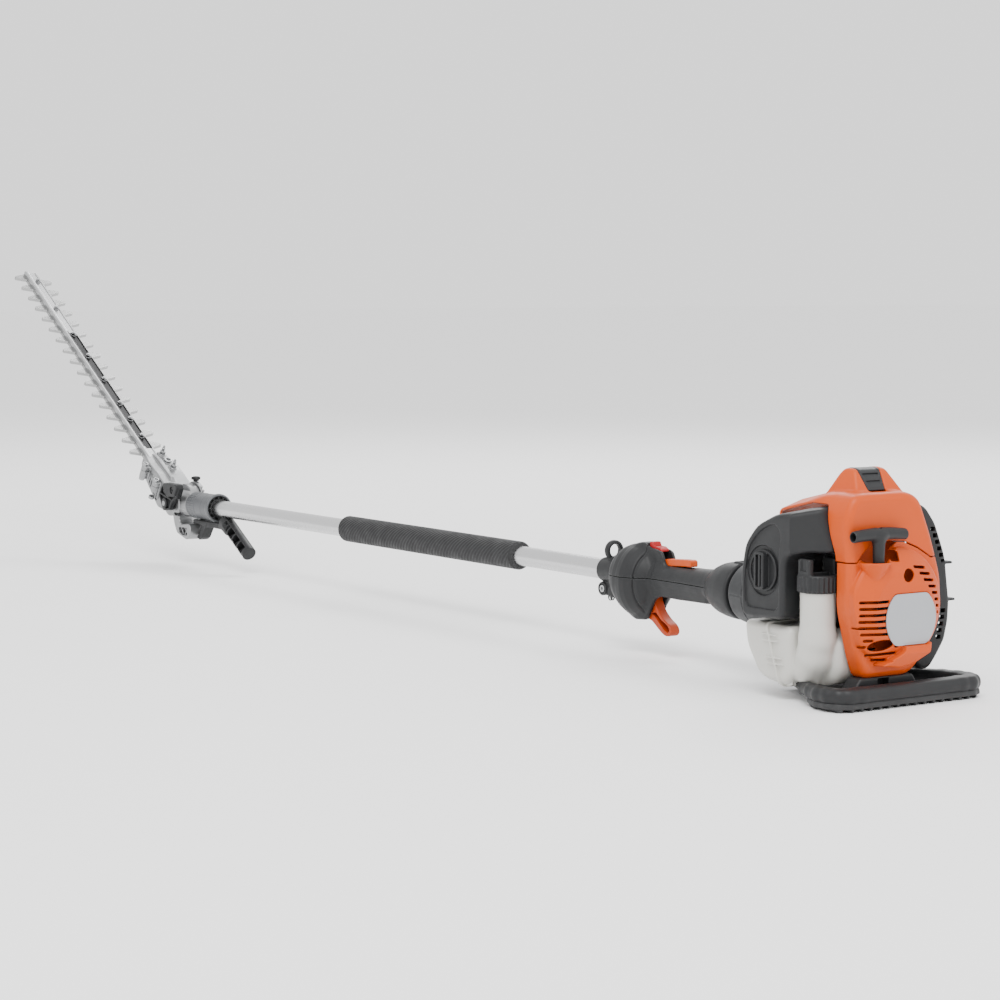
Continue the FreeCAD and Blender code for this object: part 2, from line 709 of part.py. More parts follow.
def joint_collar():
    profile = [(COLLAR_X0, 20.5), (COLLAR_X0 + 10, 20.5), (COLLAR_X0 + 22, 19.7), (KNURL_X0 - 2, 19.3)]
    profile += [(KNURL_X0, 19.8), (COLLAR_X1 - 2, 19.8), (COLLAR_X1, 19.0)]
    body = turned_x(profile)
    body = body.cut(cyl_x(COLLAR_X0, COLLAR_X0 + 8, 18.6))
    body = body.cut(cyl_x(COLLAR_X0, COLLAR_X1, TUBE_R)).cut(cyl_x(1530, COLLAR_X1, SPIGOT_R))
    grooves = []
    for i in range(30):
        groove = box(KNURL_X0 + 2, COLLAR_X1 - 4, -0.5, 0.5, POLE_Z + 19.2, POLE_Z + 21)
        groove.rotate(V(0, 0, POLE_Z), X_AXIS, i * 12.0)
        grooves.append(groove)
    return body.cut(group(grooves))


def collar_ring():
    ring = ring_x(COLLAR_X0 + 2, COLLAR_X0 + 8, 18.6, TUBE_R)
    pockets = []
    for i in range(12):
        pocket = box(COLLAR_X0 + 1, COLLAR_X0 + 5, -2.9, 2.9, POLE_Z + 13.6, POLE_Z + 17.4)
        pocket.rotate(V(0, 0, POLE_Z), X_AXIS, i * 30.0)
        pockets.append(pocket)
    return ring.cut(group(pockets))


def joint_housing():
    """Casting on the pole: spigot in the collar, half drum on the left of the tilt joint, lower arm."""
    spigot = cyl_x(1530, COLLAR_X1 + 1, SPIGOT_R)
    half_drum = cyl_y(DRUM_Y + 0.3, 19.5, HALF_R, TILT_X, POLE_Z)
    neck = cyl_x(COLLAR_X1, TILT_X, HALF_R - 0.5).common(box(COLLAR_X1, TILT_X, DRUM_Y + 0.3, 30, 0, 200))
    full_neck = cyl_x(COLLAR_X1, TUBE_FRONT_X, HALF_R - 0.5)
    rib = box(COLLAR_X1 + 29, TILT_X - 6, 12, 19.5, POLE_Z - 12, POLE_Z + 6)
    arm = above([(1554, -29), (1549, -38), (1553, -48), (1564, -52), (1594, -44), (1601, -34)])
    arm += above([(1606, -17), (1588, -17), (1586, -26), (1580, -31)])
    lower_arm = prism_y(arm, DRUM_Y + 0.3, 18.0)
    body = join([spigot, neck, full_neck, half_drum, rib, lower_arm])
    window = prism_y(above([(1566, -36), (1590, -36), (1586, -42), (1566, -46)]), 8.0, 19.0)
    body = body.cut(window).cut(cyl_x(1500, TUBE_FRONT_X, TUBE_R)).cut(cyl_x(1500, TILT_X,
                                                                             PINION_TIP + 0.8))
    gear_room = cyl_y(DRUM_Y, 14.5, 16.6, TILT_X, POLE_Z)
    body = body.cut(gear_room)
    cover = cyl_y(DRUM_Y + 0.3, DRUM_Y + 2.3, 17.0, TILT_X, POLE_Z).cut(cyl_y(-10, 10, 6.3, TILT_X, POLE_Z))
    cover = cover.cut(box(PINION_X0 - 9, PINION_X1 + 1, -8, 0, POLE_Z - 6, POLE_Z + 6))
    stud = cyl_y(19.5, 30.5, 4.0, TILT_X, POLE_Z)
    return join([body, cover, stud]).cut(cyl_y(14, 17.2, 4.0 + RUN_GAP, TILT_X, POLE_Z))


def tilt_lock_lever():
    outline = above([(1610, 31), (1567, 31), (1563, 25), (1571, 12), (1588, 5), (1598, -9),
                     (1618, -11), (1632, 12)])
    lever = prism_y(outline, 20.0, 29.0)
    top_block = prism_y(above([(1608, 31), (1567, 31), (1564, 26), (1572, 13), (1604, 12)]), 29.0, 33.0)
    hollow = prism_y(above([(1596, 0), (1600, -6), (1614, -7), (1622, 8), (1600, 8)]), 24.0, 30.0)
    lever = join([lever.cut(hollow), top_block])
    socket = cyl_y(28.0, 34.0, 3.2, 1578, POLE_Z + 22)
    return lever.cut(socket).cut(cyl_y(19, 30, 4.0 + RUN_GAP, TILT_X, POLE_Z))


GRIP_X = 1462.0
GRIP_DROP = 21.0
GRIP_DEG = 31.0
GRIP_LENGTH = 77.0
GRIP_R = 10.5


def lever_handle():
    """Hand lever under the collar: arm, strut to the casting's lobe, hollow grip with finger pockets."""
    grip = cyl(V(0, 0, 0), X_AXIS, GRIP_R, GRIP_LENGTH)
    tip_edges = [e for e in grip.Edges if e.BoundBox.XMin > GRIP_LENGTH - 1 and len(e.Vertexes) == 1]
    grip = grip.makeFillet(3.0, tip_edges)
    for i in range(4):
        x = 6 + i * 17.0
        grip = grip.cut(box(x, x + 14, -7, 7, -12, 5.0))
    grip.rotate(V(0, 0, 0), Y_AXIS, GRIP_DEG)
    grip.rotate(V(0, 0, 0), Z_AXIS, 180)
    grip.translate(V(GRIP_X, 0, POLE_Z - GRIP_DROP))
    root = cyl_y(-9, 9, GRIP_R - 2, GRIP_X, POLE_Z - GRIP_DROP - 7)
    arm = prism_y(above([(1454, -24), (1470, -21), (1562, -21), (1562, -28), (1468, -30),
                         (1454, -36)]), -8.0, 8.0)
    strut = prism_y(above([(1514, -26), (1530, -26), (1549, -48), (1541, -51), (1532, -47)]), -8.0, 8.0)
    lug = prism_y(above([(1540, -44), (1552.5, -47), (1552, -52), (1542, -51)]), -8.0, 8.0)
    lever = join([grip, root, arm, strut, lug])
    lever = lever.cut(cyl_x(COLLAR_X0 - 1, 1600, 20.8)).cut(joint_housing())
    return lever.cut(cyl_x(1300, COLLAR_X0, TUBE_R + 0.4))


# ---------------------------------------------------------------- gear and rods inside the head

WHEEL_TEETH = 27
ECC_THROW = 8.0
ECC_R = 9.0


def crank_gear():
    """Crossed gear on the tilt axis with the shaft that carries two opposed eccentrics."""
    wheel = cyl_y(7.0, 13.0, 13.5, TILT_X, POLE_Z)
    pieces = [wheel, cyl_y(-20.0, 17.0, 4.0, TILT_X, POLE_Z)]
    for i in range(WHEEL_TEETH):
        tooth = box(12.0, 15.8, 6.0, 11.0, -0.55, 0.55)
        tooth.rotate(V(0, 0, 0), Y_AXIS, i * 360.0 / WHEEL_TEETH)
        tooth.translate(V(TILT_X, 0, POLE_Z))
        pieces.append(tooth)
    across = math.radians(TILT_REST_DEG + 90)
    for sign, y in ((1, -10.0), (-1, -16.0)):
        x = TILT_X + sign * ECC_THROW * math.cos(across)
        z = POLE_Z + sign * ECC_THROW * math.sin(across)
        pieces.append(cyl_y(y, y + 3.0, ECC_R, x, z))
    return join(pieces)


ROD_START = 26.0
ROD_END = 84.0


def blade_rod(y, side):
    """Flat rod that ends in half a strap round its eccentric, clear of it at every turn."""
    low = 2.6 if side > 0 else -7.6
    bar = box(ROD_START, ROD_END, y, y + 2.6, low, low + 5.0)
    heel = cyl_y(y, y + 2.6, 6.0, ROD_START + 6, low + 2.5)
    heel = heel.common(box(ROD_START, ROD_START + 6, -30, 30, -8.5, 8.5))
    return join([bar, heel])


def upper_rod():
    return head(blade_rod(-10.2, 1))


def lower_rod():
    return head(blade_rod(-16.2, -1))


# ---------------------------------------------------------------- gearcase

def case_outline():
    left = [(122, 12.6), (110, 16), (97, 19), (30, 19)]
    right = [(0, -21), (0, -27), (92, -27), (110, -20), (122, -16)]
    return left + right


def case_solid():
    body = prism_z(case_outline(), -30, 13)
    side = [(0, -30), (36, -30), (78, -20), (122, -12), (122, 9), (100, 11), (60, 13), (0, 13)]
    body = body.common(prism_y(side, -40, 40))
    body = body.cut(cyl_y(DRUM_Y + 0.3, 40, SWING_R, 0, 0))
    under = cyl_y(DRUM_Y + 0.3, 40, SWING_R + 8, 0, 0).common(box(-50, 60, -10, 40, -50, -14))
    body = body.cut(under)
    ridge = prism_y([(34, 12), (116, 9), (116, 12), (100, 15), (40, 16.5), (34, 13)], -3.5, 3.5)
    drum = cyl_y(FLANGE_Y, DRUM_Y, DRUM_R, 0, 0)
    lug_front = cyl_z(-14, 8, 7.0, 88, 23)
    lug_mid = cyl_z(-20, 8, 7.0, 46, 22.5)
    return join([body, ridge.cut(cyl_y(-40, 40, SWING_R, 0, 0)), drum, lug_front, lug_mid])


def case_rooms():
    drum_room = cyl_y(FLANGE_Y + 1.0, DRUM_Y - 1.0, 25.0, 0, 0)
    shaft_hole = cyl_y(-30, 30, 4.0 + RUN_GAP, 0, 0).fuse(cyl_y(DRUM_Y - 3, DRUM_Y + 1, 10.0, 0, 0))
    rod_room = box(15, 96, -19.5, -6.0, -8.6, 8.6)
    blade_slot = box(58, 130, -13.4, 13.4, -2.7, 2.7)
    rail_slot = box(RAIL_ROOT, 130, RAIL_RIGHT, RAIL_LEFT, 2.4, 9.2)
    screws = group([cyl_z(-40, 40, 2.6, x, y) for x, y in ((88, 25), (46, 25))])
    return group([drum_room, shaft_hole, rod_room, blade_slot, rail_slot, screws])


def gearcase():
    case = case_solid()
    for room in case_rooms().SubShapes:
        case = case.cut(room)
    return case


def gearcase_upper():
    return head(biggest(gearcase().common(box(-60, 200, -60, 60, 0, 60))))


def gearcase_lower():
    return head(biggest(gearcase().common(box(-60, 200, -60, 60, -60, 0))))


def stack(x, y, base, height):
    """Flange nut, washer and stud end that stand on the gearcase."""
    washer = cyl_z(base, base + 1.5, 5.5, x, y)
    nut = Part.makeCone(5.0, 4.2, height * 0.45, V(x, y, base + 1.5), Z_AXIS)
    stud = cyl_z(base + 1.5, base + height, 2.8, x, y)
    tip = Part.makeCone(2.0, 1.2, 4.0, V(x, y, base + height), Z_AXIS)
    return join([washer, nut, stud, tip])


def gearcase_bolts():
    pieces = [stack(112, -13.5, 10.5, 12.0), stack(72, -14.5, 12.8, 12.0)]
    boss = cyl_z(11.8, 14.6, 6.5, 92, -14).cut(cyl_z(11.8, 15.0, 3.5, 92, -14))
    pieces.append(boss)
    for x, low in ((88, -14), (46, -20)):
        pieces.append(cyl_z(low - 4, low, 4.6, x, 25))
        pieces.append(cyl_z(low, 8.0, 2.6, x, 25))
        pieces.append(screw(V(x, 25, 8.0), Z_AXIS, 4.4, 4.0))
    return head(group(pieces[:3] + [join(pieces[3:6]), join(pieces[6:9])]))


def index_plate():
    """Round plate on the right of the drum, with a notch for each tilt position."""
    plate = cyl_y(FLANGE_Y - 6.5, FLANGE_Y - 0.1, 31.0, 0, 0)
    for i in range(10):
        notch = box(27.5, 32, FLANGE_Y - 3.2, FLANGE_Y + 1, -2.0, 2.0)
        notch.rotate(V(0, 0, 0), Y_AXIS, -(180 - TILT_REST_DEG - TILT_MAX_UP + i * NOTCH_STEP_DEG))
        plate = plate.cut(notch)
    plate = plate.cut(box(-1, 60, FLANGE_Y - 7, FLANGE_Y + 1, -40, 13.2).common(case_solid()))
    plate = plate.cut(cyl_y(-40, 0, 4.0 + RUN_GAP, 0, 0))
    up = math.radians(90 - TILT_REST_DEG)
    seat = cyl(V(27 * math.cos(up), FLANGE_Y - 4.6, 27 * math.sin(up)), V(math.cos(up), 0,
                                                                          math.sin(up)), 1.55, 8)
    return head(biggest(plate.cut(seat)))


KNOB_Y = FLANGE_Y - 4.6


def tilt_knob():
    """Star knob on a stud in the rim of the index plate."""
    base = POLE_Z + 31.2
    hub = cyl_z(base, base + 6.5, 4.5, TILT_X, KNOB_Y)
    pieces = [hub, cyl_z(base - 3.5, base, 1.5, TILT_X, KNOB_Y)]
    for i in range(5):
        angle = math.radians(72 * i + 10)
        lobe = cyl_z(base + 2.5, base + 6.5, 2.4, TILT_X + 5.2 * math.cos(angle),
                     KNOB_Y + 5.2 * math.sin(angle))
        pieces.append(lobe)
    return join(pieces)


# ---------------------------------------------------------------- cutter

def tooth(station, side):
    half_root = TOOTH_ROOT / 2
    half_tip = TOOTH_TIP / 2
    base = BLADE_HALF - 1.0
    points = [(station - half_root - 1.5, base * side), (station - half_root, (base + 2.5) * side)]
    points += [(station - half_tip, (TOOTH_REACH - 1.2) * side),
               (station - half_tip + 1.2, TOOTH_REACH * side)]
    points += [(station + half_tip - 1.2, TOOTH_REACH * side), (station + half_tip,
                                                                (TOOTH_REACH - 1.2) * side)]
    points += [(station + half_root, (base + 2.5) * side), (station + half_root + 1.5, base * side)]
    return prism_z(points, 0, BLADE_T)


def blade():
    spine = box(BLADE_TAIL, BLADE_TIP, -BLADE_HALF, BLADE_HALF, 0, BLADE_T)
    pieces = [spine]
    for i in range(LEFT_TEETH):
        pieces.append(tooth(FIRST_TOOTH - TOOTH_PITCH * i, 1))
    for i in range(RIGHT_TEETH):
        pieces.append(tooth(FIRST_TOOTH - TOOTH_PITCH * (i + 0.51), -1))
    plate = join(pieces)
    for x in BOLT_STATIONS:
        half = STROKE + 1.5
        slot = box(x - half, x + half, BOLT_Y - BOLT_R - 0.3, BOLT_Y + BOLT_R + 0.3, -1, BLADE_T + 1)
        ends = [cyl_z(-1, BLADE_T + 1, BOLT_R + 0.3, x + e * half, BOLT_Y) for e in (-1, 1)]
        plate = plate.cut(slot).cut(ends[0]).cut(ends[1])
    return plate


def upper_blade():
    plate = blade()
    plate.translate(V(0, 0, BLADE_GAP))
    return head(plate)


def lower_blade():
    plate = blade()
    plate.translate(V(0, 0, -BLADE_GAP - BLADE_T))
    return head(plate)


RAIL_BASE = BLADE_GAP * 2 + BLADE_T


def guide_rail():
    """Extruded bar over the blades: flat web on the right, raised lip on the left."""
    web = box(RAIL_ROOT, RAIL_TIP, RAIL_RIGHT, RAIL_LIP, RAIL_BASE, RAIL_BASE + RAIL_T)
    lip = box(RAIL_ROOT, RAIL_TIP, RAIL_LIP, RAIL_LEFT, RAIL_BASE, RAIL_BASE + RAIL_LIP_T)
    edges = [e for e in lip.Edges if e.BoundBox.ZMin > RAIL_BASE + 5 and e.BoundBox.XLength > 100]
    lip = lip.makeFillet(2.5, edges)
    edge_rib = box(RAIL_ROOT, RAIL_TIP, RAIL_RIGHT, RAIL_RIGHT + 1.2, RAIL_BASE, RAIL_BASE + RAIL_T + 1.0)
    rail = join([web, lip, edge_rib])
    for x in BOLT_STATIONS:
        rail = rail.cut(cyl_z(0, 20, BOLT_R, x, BOLT_Y))
    return head(rail)


def blade_bolt(x):
    top = RAIL_BASE + RAIL_T
    washer = cyl_z(top, top + 1.2, 4.6, x, BOLT_Y)
    nut = Part.Face(Part.makePolygon([
        V(x + 4.2 * math.cos(math.radians(60 * k)), BOLT_Y + 4.2 * math.sin(math.radians(60 * k)),
          top + 1.2)
        for k in range(7)])).extrude(V(0, 0, 3.6))
    shank = cyl_z(-BLADE_GAP * 2 - BLADE_T - 2.2, top + 6.6, BOLT_R, x, BOLT_Y)
    button = cyl_z(-BLADE_GAP * 2 - BLADE_T - 2.2, -BLADE_GAP * 2 - BLADE_T, 5.6, x, BOLT_Y)
    return join([washer, nut, shank, button])


def blade_bolts():
    return head(group([blade_bolt(x) for x in BOLT_STATIONS]))


BUILDERS = (
    drive_tube, drive_shaft, shaft_bushings, foam_grip, suspension_clamp, throttle_handle_upper,
    throttle_handle_lower, throttle_trigger, trigger_lockout, stop_switch, trigger_spring, adapter_cone,
    damper_ring, clutch_housing, clutch_drum, clutch_shoes, crankcase, cylinder, piston, connecting_rod,
    crankshaft, flywheel, ignition_coil, spark_plug, muffler, muffler_guard, carburettor, air_filter,
    air_filter_cover, filter_cover_knob, fuel_tank, fuel_cap, starter_cover, top_cover, top_insert,
    starter_badge, starter_handle, starter_rope, starter_pulley, recoil_spring, stand, stand_tread,
    case_screws, joint_collar, collar_ring, joint_housing, tilt_lock_lever, lever_handle, crank_gear,
    upper_rod, lower_rod, gearcase_upper, gearcase_lower, gearcase_bolts, index_plate, tilt_knob,
    guide_rail, upper_blade, lower_blade, blade_bolts,
)

os.makedirs("parts", exist_ok=True)
for builder in BUILDERS:
    save(builder.__name__, builder())
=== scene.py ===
import bpy
import json
import math
import numpy as np
import openvdb
from mathutils import Matrix, Vector


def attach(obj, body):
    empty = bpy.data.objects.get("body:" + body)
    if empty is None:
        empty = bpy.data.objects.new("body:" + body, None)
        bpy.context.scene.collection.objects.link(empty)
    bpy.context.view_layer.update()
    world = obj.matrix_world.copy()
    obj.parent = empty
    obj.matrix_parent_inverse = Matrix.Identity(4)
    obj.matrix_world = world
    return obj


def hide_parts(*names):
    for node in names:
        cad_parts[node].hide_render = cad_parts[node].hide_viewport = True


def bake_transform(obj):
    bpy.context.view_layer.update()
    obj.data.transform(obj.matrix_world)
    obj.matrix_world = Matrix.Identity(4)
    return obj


# Looks of the pole hedge trimmer.  Shapes are worked out in millimetres in the frame of the part, with
# heights measured from the pole's axis, and turned into metres when each piece is made.

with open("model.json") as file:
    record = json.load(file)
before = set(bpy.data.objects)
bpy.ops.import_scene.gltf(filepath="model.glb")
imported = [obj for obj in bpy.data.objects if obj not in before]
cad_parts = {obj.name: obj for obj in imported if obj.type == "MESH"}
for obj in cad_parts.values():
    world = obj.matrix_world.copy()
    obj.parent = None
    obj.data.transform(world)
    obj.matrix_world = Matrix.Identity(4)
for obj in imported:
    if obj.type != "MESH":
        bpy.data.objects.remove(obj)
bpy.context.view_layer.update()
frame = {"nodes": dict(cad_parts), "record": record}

MM = 0.001
POLE_Z = 90.0
TILT_X = 1614.0
TILT_DEG = 31.8
TUBE_R = 12.0


# ---- distance fields

class Grid:
    """A block of sample points, millimetres.  Heights are relative to the pole's axis."""

    def __init__(self, low, high, step):
        self.low = np.array(low, np.float64)
        self.step = step
        axes = [np.arange(a, b + step, step, dtype=np.float32) for a, b in zip(low, high)]
        self.shape = tuple(len(a) for a in axes)
        self.x = axes[0][:, None, None]
        self.y = axes[1][None, :, None]
        self.z = axes[2][None, None, :]


def both(a, b, r=0.0):
    """Common part of two fields, with its outer edge rounded by r."""
    if r <= 0:
        return np.maximum(a, b)
    outside = np.hypot(np.maximum(a + r, 0), np.maximum(b + r, 0))
    return np.minimum(np.maximum(a, b), -r) + outside


def either(a, b, r=0.0):
    """Sum of two fields, with its inner corner filled by radius r."""
    return -both(-a, -b, r)


def less(a, b, r=0.0):
    """Field a with b taken away, with the edge rounded by r."""
    return both(a, -b, r)


def slab(t, low, high):
    """Space between two values of t."""
    return np.abs(t - (low + high) / 2) - (high - low) / 2


def circle(u, v, u0, v0, radius):
    return np.hypot(u - u0, v - v0) - radius


def soften(points, reach=4.0, steps=4):
    """Rounds the corners of a closed outline.  Each curve starts at most reach away from its corner."""
    softer = []
    for i, (u, v) in enumerate(points):
        ends = []
        for u1, v1 in (points[i - 1], points[(i + 1) % len(points)]):
            share = min(reach / math.hypot(u1 - u, v1 - v), 0.45)
            ends.append((u + (u1 - u) * share, v + (v1 - v) * share))
        for k in range(steps + 1):
            t = k / steps
            before, corner, after = (1 - t) ** 2, 2 * t * (1 - t), t ** 2
            softer.append((before * ends[0][0] + corner * u + after * ends[1][0],
                           before * ends[0][1] + corner * v + after * ends[1][1]))
    return softer


def outline(u, v, points):
    """Signed distance to a closed outline, negative inside."""
    nearest = None
    sign = np.float32(1.0)
    for i, (au, av) in enumerate(points):
        bu, bv = points[i - 1]
        eu, ev = bu - au, bv - av
        wu, wv = u - au, v - av
        t = np.clip((wu * eu + wv * ev) / (eu * eu + ev * ev + 1e-9), 0, 1)
        d = (wu - eu * t) ** 2 + (wv - ev * t) ** 2
        nearest = d if nearest is None else np.minimum(nearest, d)
        over, under, left = v >= av, v < bv, eu * wv > ev * wu
        sign = np.where((over & under & left) | (~over & ~under & ~left), -sign, sign)
    return sign * np.sqrt(nearest)


def planes(g, plane):
    """The two axes of a plane, such as "xz", and the axis across it."""
    rest = {"yz": "x", "xz": "y", "xy": "z"}[plane]
    return getattr(g, plane[0]), getattr(g, plane[1]), getattr(g, rest)


def prism(g, plane, points, reach, low, high, r=0.0):
    """Softened outline in a plane, from low to high across it."""
    u, v, w = planes(g, plane)
    return both(outline(u, v, soften(points, reach)), slab(w, low, high), r)


def disc(g, plane, u0, v0, radius, low, high, r=0.0):
    u, v, w = planes(g, plane)
    return both(circle(u, v, u0, v0, radius), slab(w, low, high), r)


def block(g, x, y, z, r=0.0):
    """Rounded box from three (low, high) pairs."""
    d = both(slab(g.x, *x), slab(g.y, *y), r)
    return both(d, slab(g.z, *z), r)


def rod(g, a, b, r0, r1=None):
    """Round-ended bar from a to b, whose radius goes from r0 to r1."""
    r1 = r0 if r1 is None else r1
    a = np.array(a, np.float32)
    along = np.array(b, np.float32) - a
    wx, wy, wz = g.x - a[0], g.y - a[1], g.z - a[2]
    t = np.clip((wx * along[0] + wy * along[1] + wz * along[2]) / float(along @ along), 0, 1)
    gap = np.sqrt((wx - along[0] * t) ** 2 + (wy - along[1] * t) ** 2 + (wz - along[2] * t) ** 2)
    return gap - (r0 + (r1 - r0) * t)


def path(g, points, radii, fillet):
    """Chain of round bars through the points, with its corners filled by fillet."""
    d = None
    for i in range(len(points) - 1):
        part = rod(g, points[i], points[i + 1], radii[i], radii[i + 1])
        d = part if d is None else either(d, part, fillet)
    return d


def sample(d, p):
    """Reads a field at points given in grid steps."""
    top = np.array(d.shape) - 2
    base = np.clip(np.floor(p).astype(int), 0, top)
    f = np.clip(p - base, 0, 1)
    i, j, k = base.T
    fx, fy, fz = f.T
    total = 0.0
    for a in (0, 1):
        for b in (0, 1):
            for c in (0, 1):
                w = (fx if a else 1 - fx) * (fy if b else 1 - fy) * (fz if c else 1 - fz)
                total = total + w * d[i + a, j + b, k + c]
    return total


def slope(d, p):
    """Unit normal of a field at points given in grid steps, and its rate of change."""
    gradient = np.zeros_like(p)
    for axis in range(3):
        shift = np.zeros(3)
        shift[axis] = 0.6
        gradient[:, axis] = sample(d, p + shift) - sample(d, p - shift)
    size = np.linalg.norm(gradient, axis=1, keepdims=True)
    return gradient / np.maximum(size, 1e-6), size / 1.2


HEAD_PLACE = Matrix.Translation((TILT_X, 0, 0)) @ Matrix.Rotation(-math.radians(TILT_DEG), 4, "Y")


def solid(name, g, d, surface, nodes, body="root", place=None):
    """Makes a piece from a field.  place moves it from its own frame into the part's, millimetres."""
    d = np.array(np.broadcast_to(d, g.shape), np.float32)
    for axis in range(3):
        ends = [slice(None)] * 3
        for end in (0, -1):
            ends[axis] = end
            d[tuple(ends)] = np.maximum(d[tuple(ends)], g.step * 0.5)
    grid = openvdb.FloatGrid(float(g.step * 3))
    grid.copyFromArray(d)
    points, quads = grid.convertToQuads(0.0)
    points = points.astype(np.float64)
    for _ in range(2):
        normal, size = slope(d, points)
        move = sample(d, points)[:, None] / np.maximum(size, 0.3) * (size > 0.05)
        points -= normal * np.clip(move, -0.5, 0.5)
    normal, size = slope(d, points)
    points = points * g.step + g.low
    place = place or Matrix.Identity(4)
    turn = np.array(place.to_3x3())
    points = points @ turn.T + np.array(place.translation)
    normal = normal @ turn.T
    points[:, 2] += POLE_Z
    a, b, c = points[quads[:, 0]], points[quads[:, 1]], points[quads[:, 2]]
    if np.einsum("ij,ij->", np.cross(b - a, c - a), normal[quads[:, 0]]) < 0:
        quads = quads[:, ::-1]
    mesh = bpy.data.meshes.new(name)
    mesh.from_pydata((points * MM).tolist(), [], quads.tolist())
    mesh.shade_smooth()
    mesh.update()
    mesh.normals_split_custom_set_from_vertices(normal.tolist())
    obj = dressed(name, mesh, surface)
    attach(obj, body)
    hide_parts(*nodes)


def dressed(name, mesh, surface):
    """New object with its material."""
    obj = bpy.data.objects.new(name, mesh)
    bpy.context.scene.collection.objects.link(obj)
    material, slot = surface
    mesh.materials.append(material)
    return obj


# ---- materials

def links(material):
    """Nodes, links and main shader of a material."""
    material.use_nodes = True
    tree = material.node_tree
    return tree.nodes, tree.links, tree.nodes["Principled BSDF"]


def fill(node, values):
    """Sets the inputs of a node by name."""
    for name, value in values.items():
        node.inputs[name].default_value = value
    return node


def compute(nodes, wires, kind, *values):
    """One arithmetic node.  A value is a float or the output of another node."""
    node = nodes.new("ShaderNodeMath")
    node.operation = kind
    for socket, value in zip(node.inputs, values):
        if isinstance(value, float):
            socket.default_value = value
        else:
            wires.new(value, socket)
    return node.outputs[0]


def noise(nodes, wires, coords, scale, detail=3.0, stretch=None):
    """Noise from 0 to 1, stretched along the axes with a small factor."""
    node = fill(nodes.new("ShaderNodeTexNoise"), {"Scale": scale, "Detail": detail})
    if stretch:
        mapping = fill(nodes.new("ShaderNodeMapping"), {"Scale": stretch})
        wires.new(coords, mapping.inputs["Vector"])
        coords = mapping.outputs["Vector"]
    wires.new(coords, node.inputs["Vector"])
    return node.outputs["Fac"]


def spread(nodes, wires, value, start, end, low=0.0, high=1.0):
    """Maps the range from start to end onto the one from low to high."""
    node = fill(nodes.new("ShaderNodeMapRange"), {"From Min": start, "From Max": end, "To Min": low,
                                                  "To Max": high})
    wires.new(value, node.inputs["Value"])
    return node.outputs["Result"]


def mixed(nodes, wires, factor, a, b):
    """Colour a where factor is 0 and b where it is 1.  Each is a colour or the output of a node."""
    node = nodes.new("ShaderNodeMix")
    node.data_type = "RGBA"
    for name, value in (("Factor", factor), ("A", a), ("B", b)):
        if isinstance(value, tuple):
            node.inputs[name].default_value = (*value, 1)
        else:
            wires.new(value, node.inputs[name])
    return node.outputs["Result"]


NOISE_RANGE = (0.3, 0.7)      # where nearly all of a noise lies
EDGE_RANGE = (0.52, 0.62)     # pointiness of a flat place and of an outer edge


BY_SLOT = {}      # material of each slot


def surface(name, slot, colour, rough, metal=0.0, grain=900.0, relief=0.10, depth=0.15, vary=0.06,
            wear=0.15, stretch=None, sss=0.0, bevel=0.0, shine=0.5):
    """Moulded plastic, cast or drawn metal: grain relief, colour drift, worn edges and uneven gloss.
    depth and bevel are in millimetres.  Returns the material and its slot."""
    material = bpy.data.materials.new(name)
    nodes, wires, shader = links(material)
    coords = nodes.new("ShaderNodeTexCoord").outputs["Object"]
    drift = noise(nodes, wires, coords, 14.0, 4.0)
    dark = tuple(c * (1 - vary) for c in colour)
    light = tuple(min(1, c * (1 + vary)) for c in colour)
    base = mixed(nodes, wires, drift, dark, light)
    worn = tuple(min(1, c + (1 - c) * wear * 0.5 + 0.02 * wear) for c in colour)
    edge = spread(nodes, wires, nodes.new("ShaderNodeNewGeometry").outputs["Pointiness"], *EDGE_RANGE)
    wires.new(mixed(nodes, wires, edge, base, worn), shader.inputs["Base Color"])
    scuff = noise(nodes, wires, coords, 60.0, 5.0)
    gloss = spread(nodes, wires, scuff, *NOISE_RANGE, rough * 0.85, min(1, rough * 1.15))
    wires.new(gloss, shader.inputs["Roughness"])
    fill(shader, {"Metallic": metal, "Specular IOR Level": shine})
    if sss:
        fill(shader, {"Subsurface Weight": sss, "Subsurface Radius": (0.012, 0.011, 0.010),
                      "Subsurface Scale": 1.0})
    bump = fill(nodes.new("ShaderNodeBump"), {"Strength": relief, "Distance": depth * MM})
    wires.new(noise(nodes, wires, coords, grain, 2.0, stretch), bump.inputs["Height"])
    if bevel:
        rounding = fill(nodes.new("ShaderNodeBevel"), {"Radius": bevel * MM})
        rounding.samples = 4
        wires.new(rounding.outputs["Normal"], bump.inputs["Normal"])
    wires.new(bump.outputs["Normal"], shader.inputs["Normal"])
    BY_SLOT[slot] = material
    return material, slot


GROOVE_STARTS = 16.0      # grooves round the foam grip
GROOVE_RATE = 900.0       # radians of the groove's wave for each metre of grip


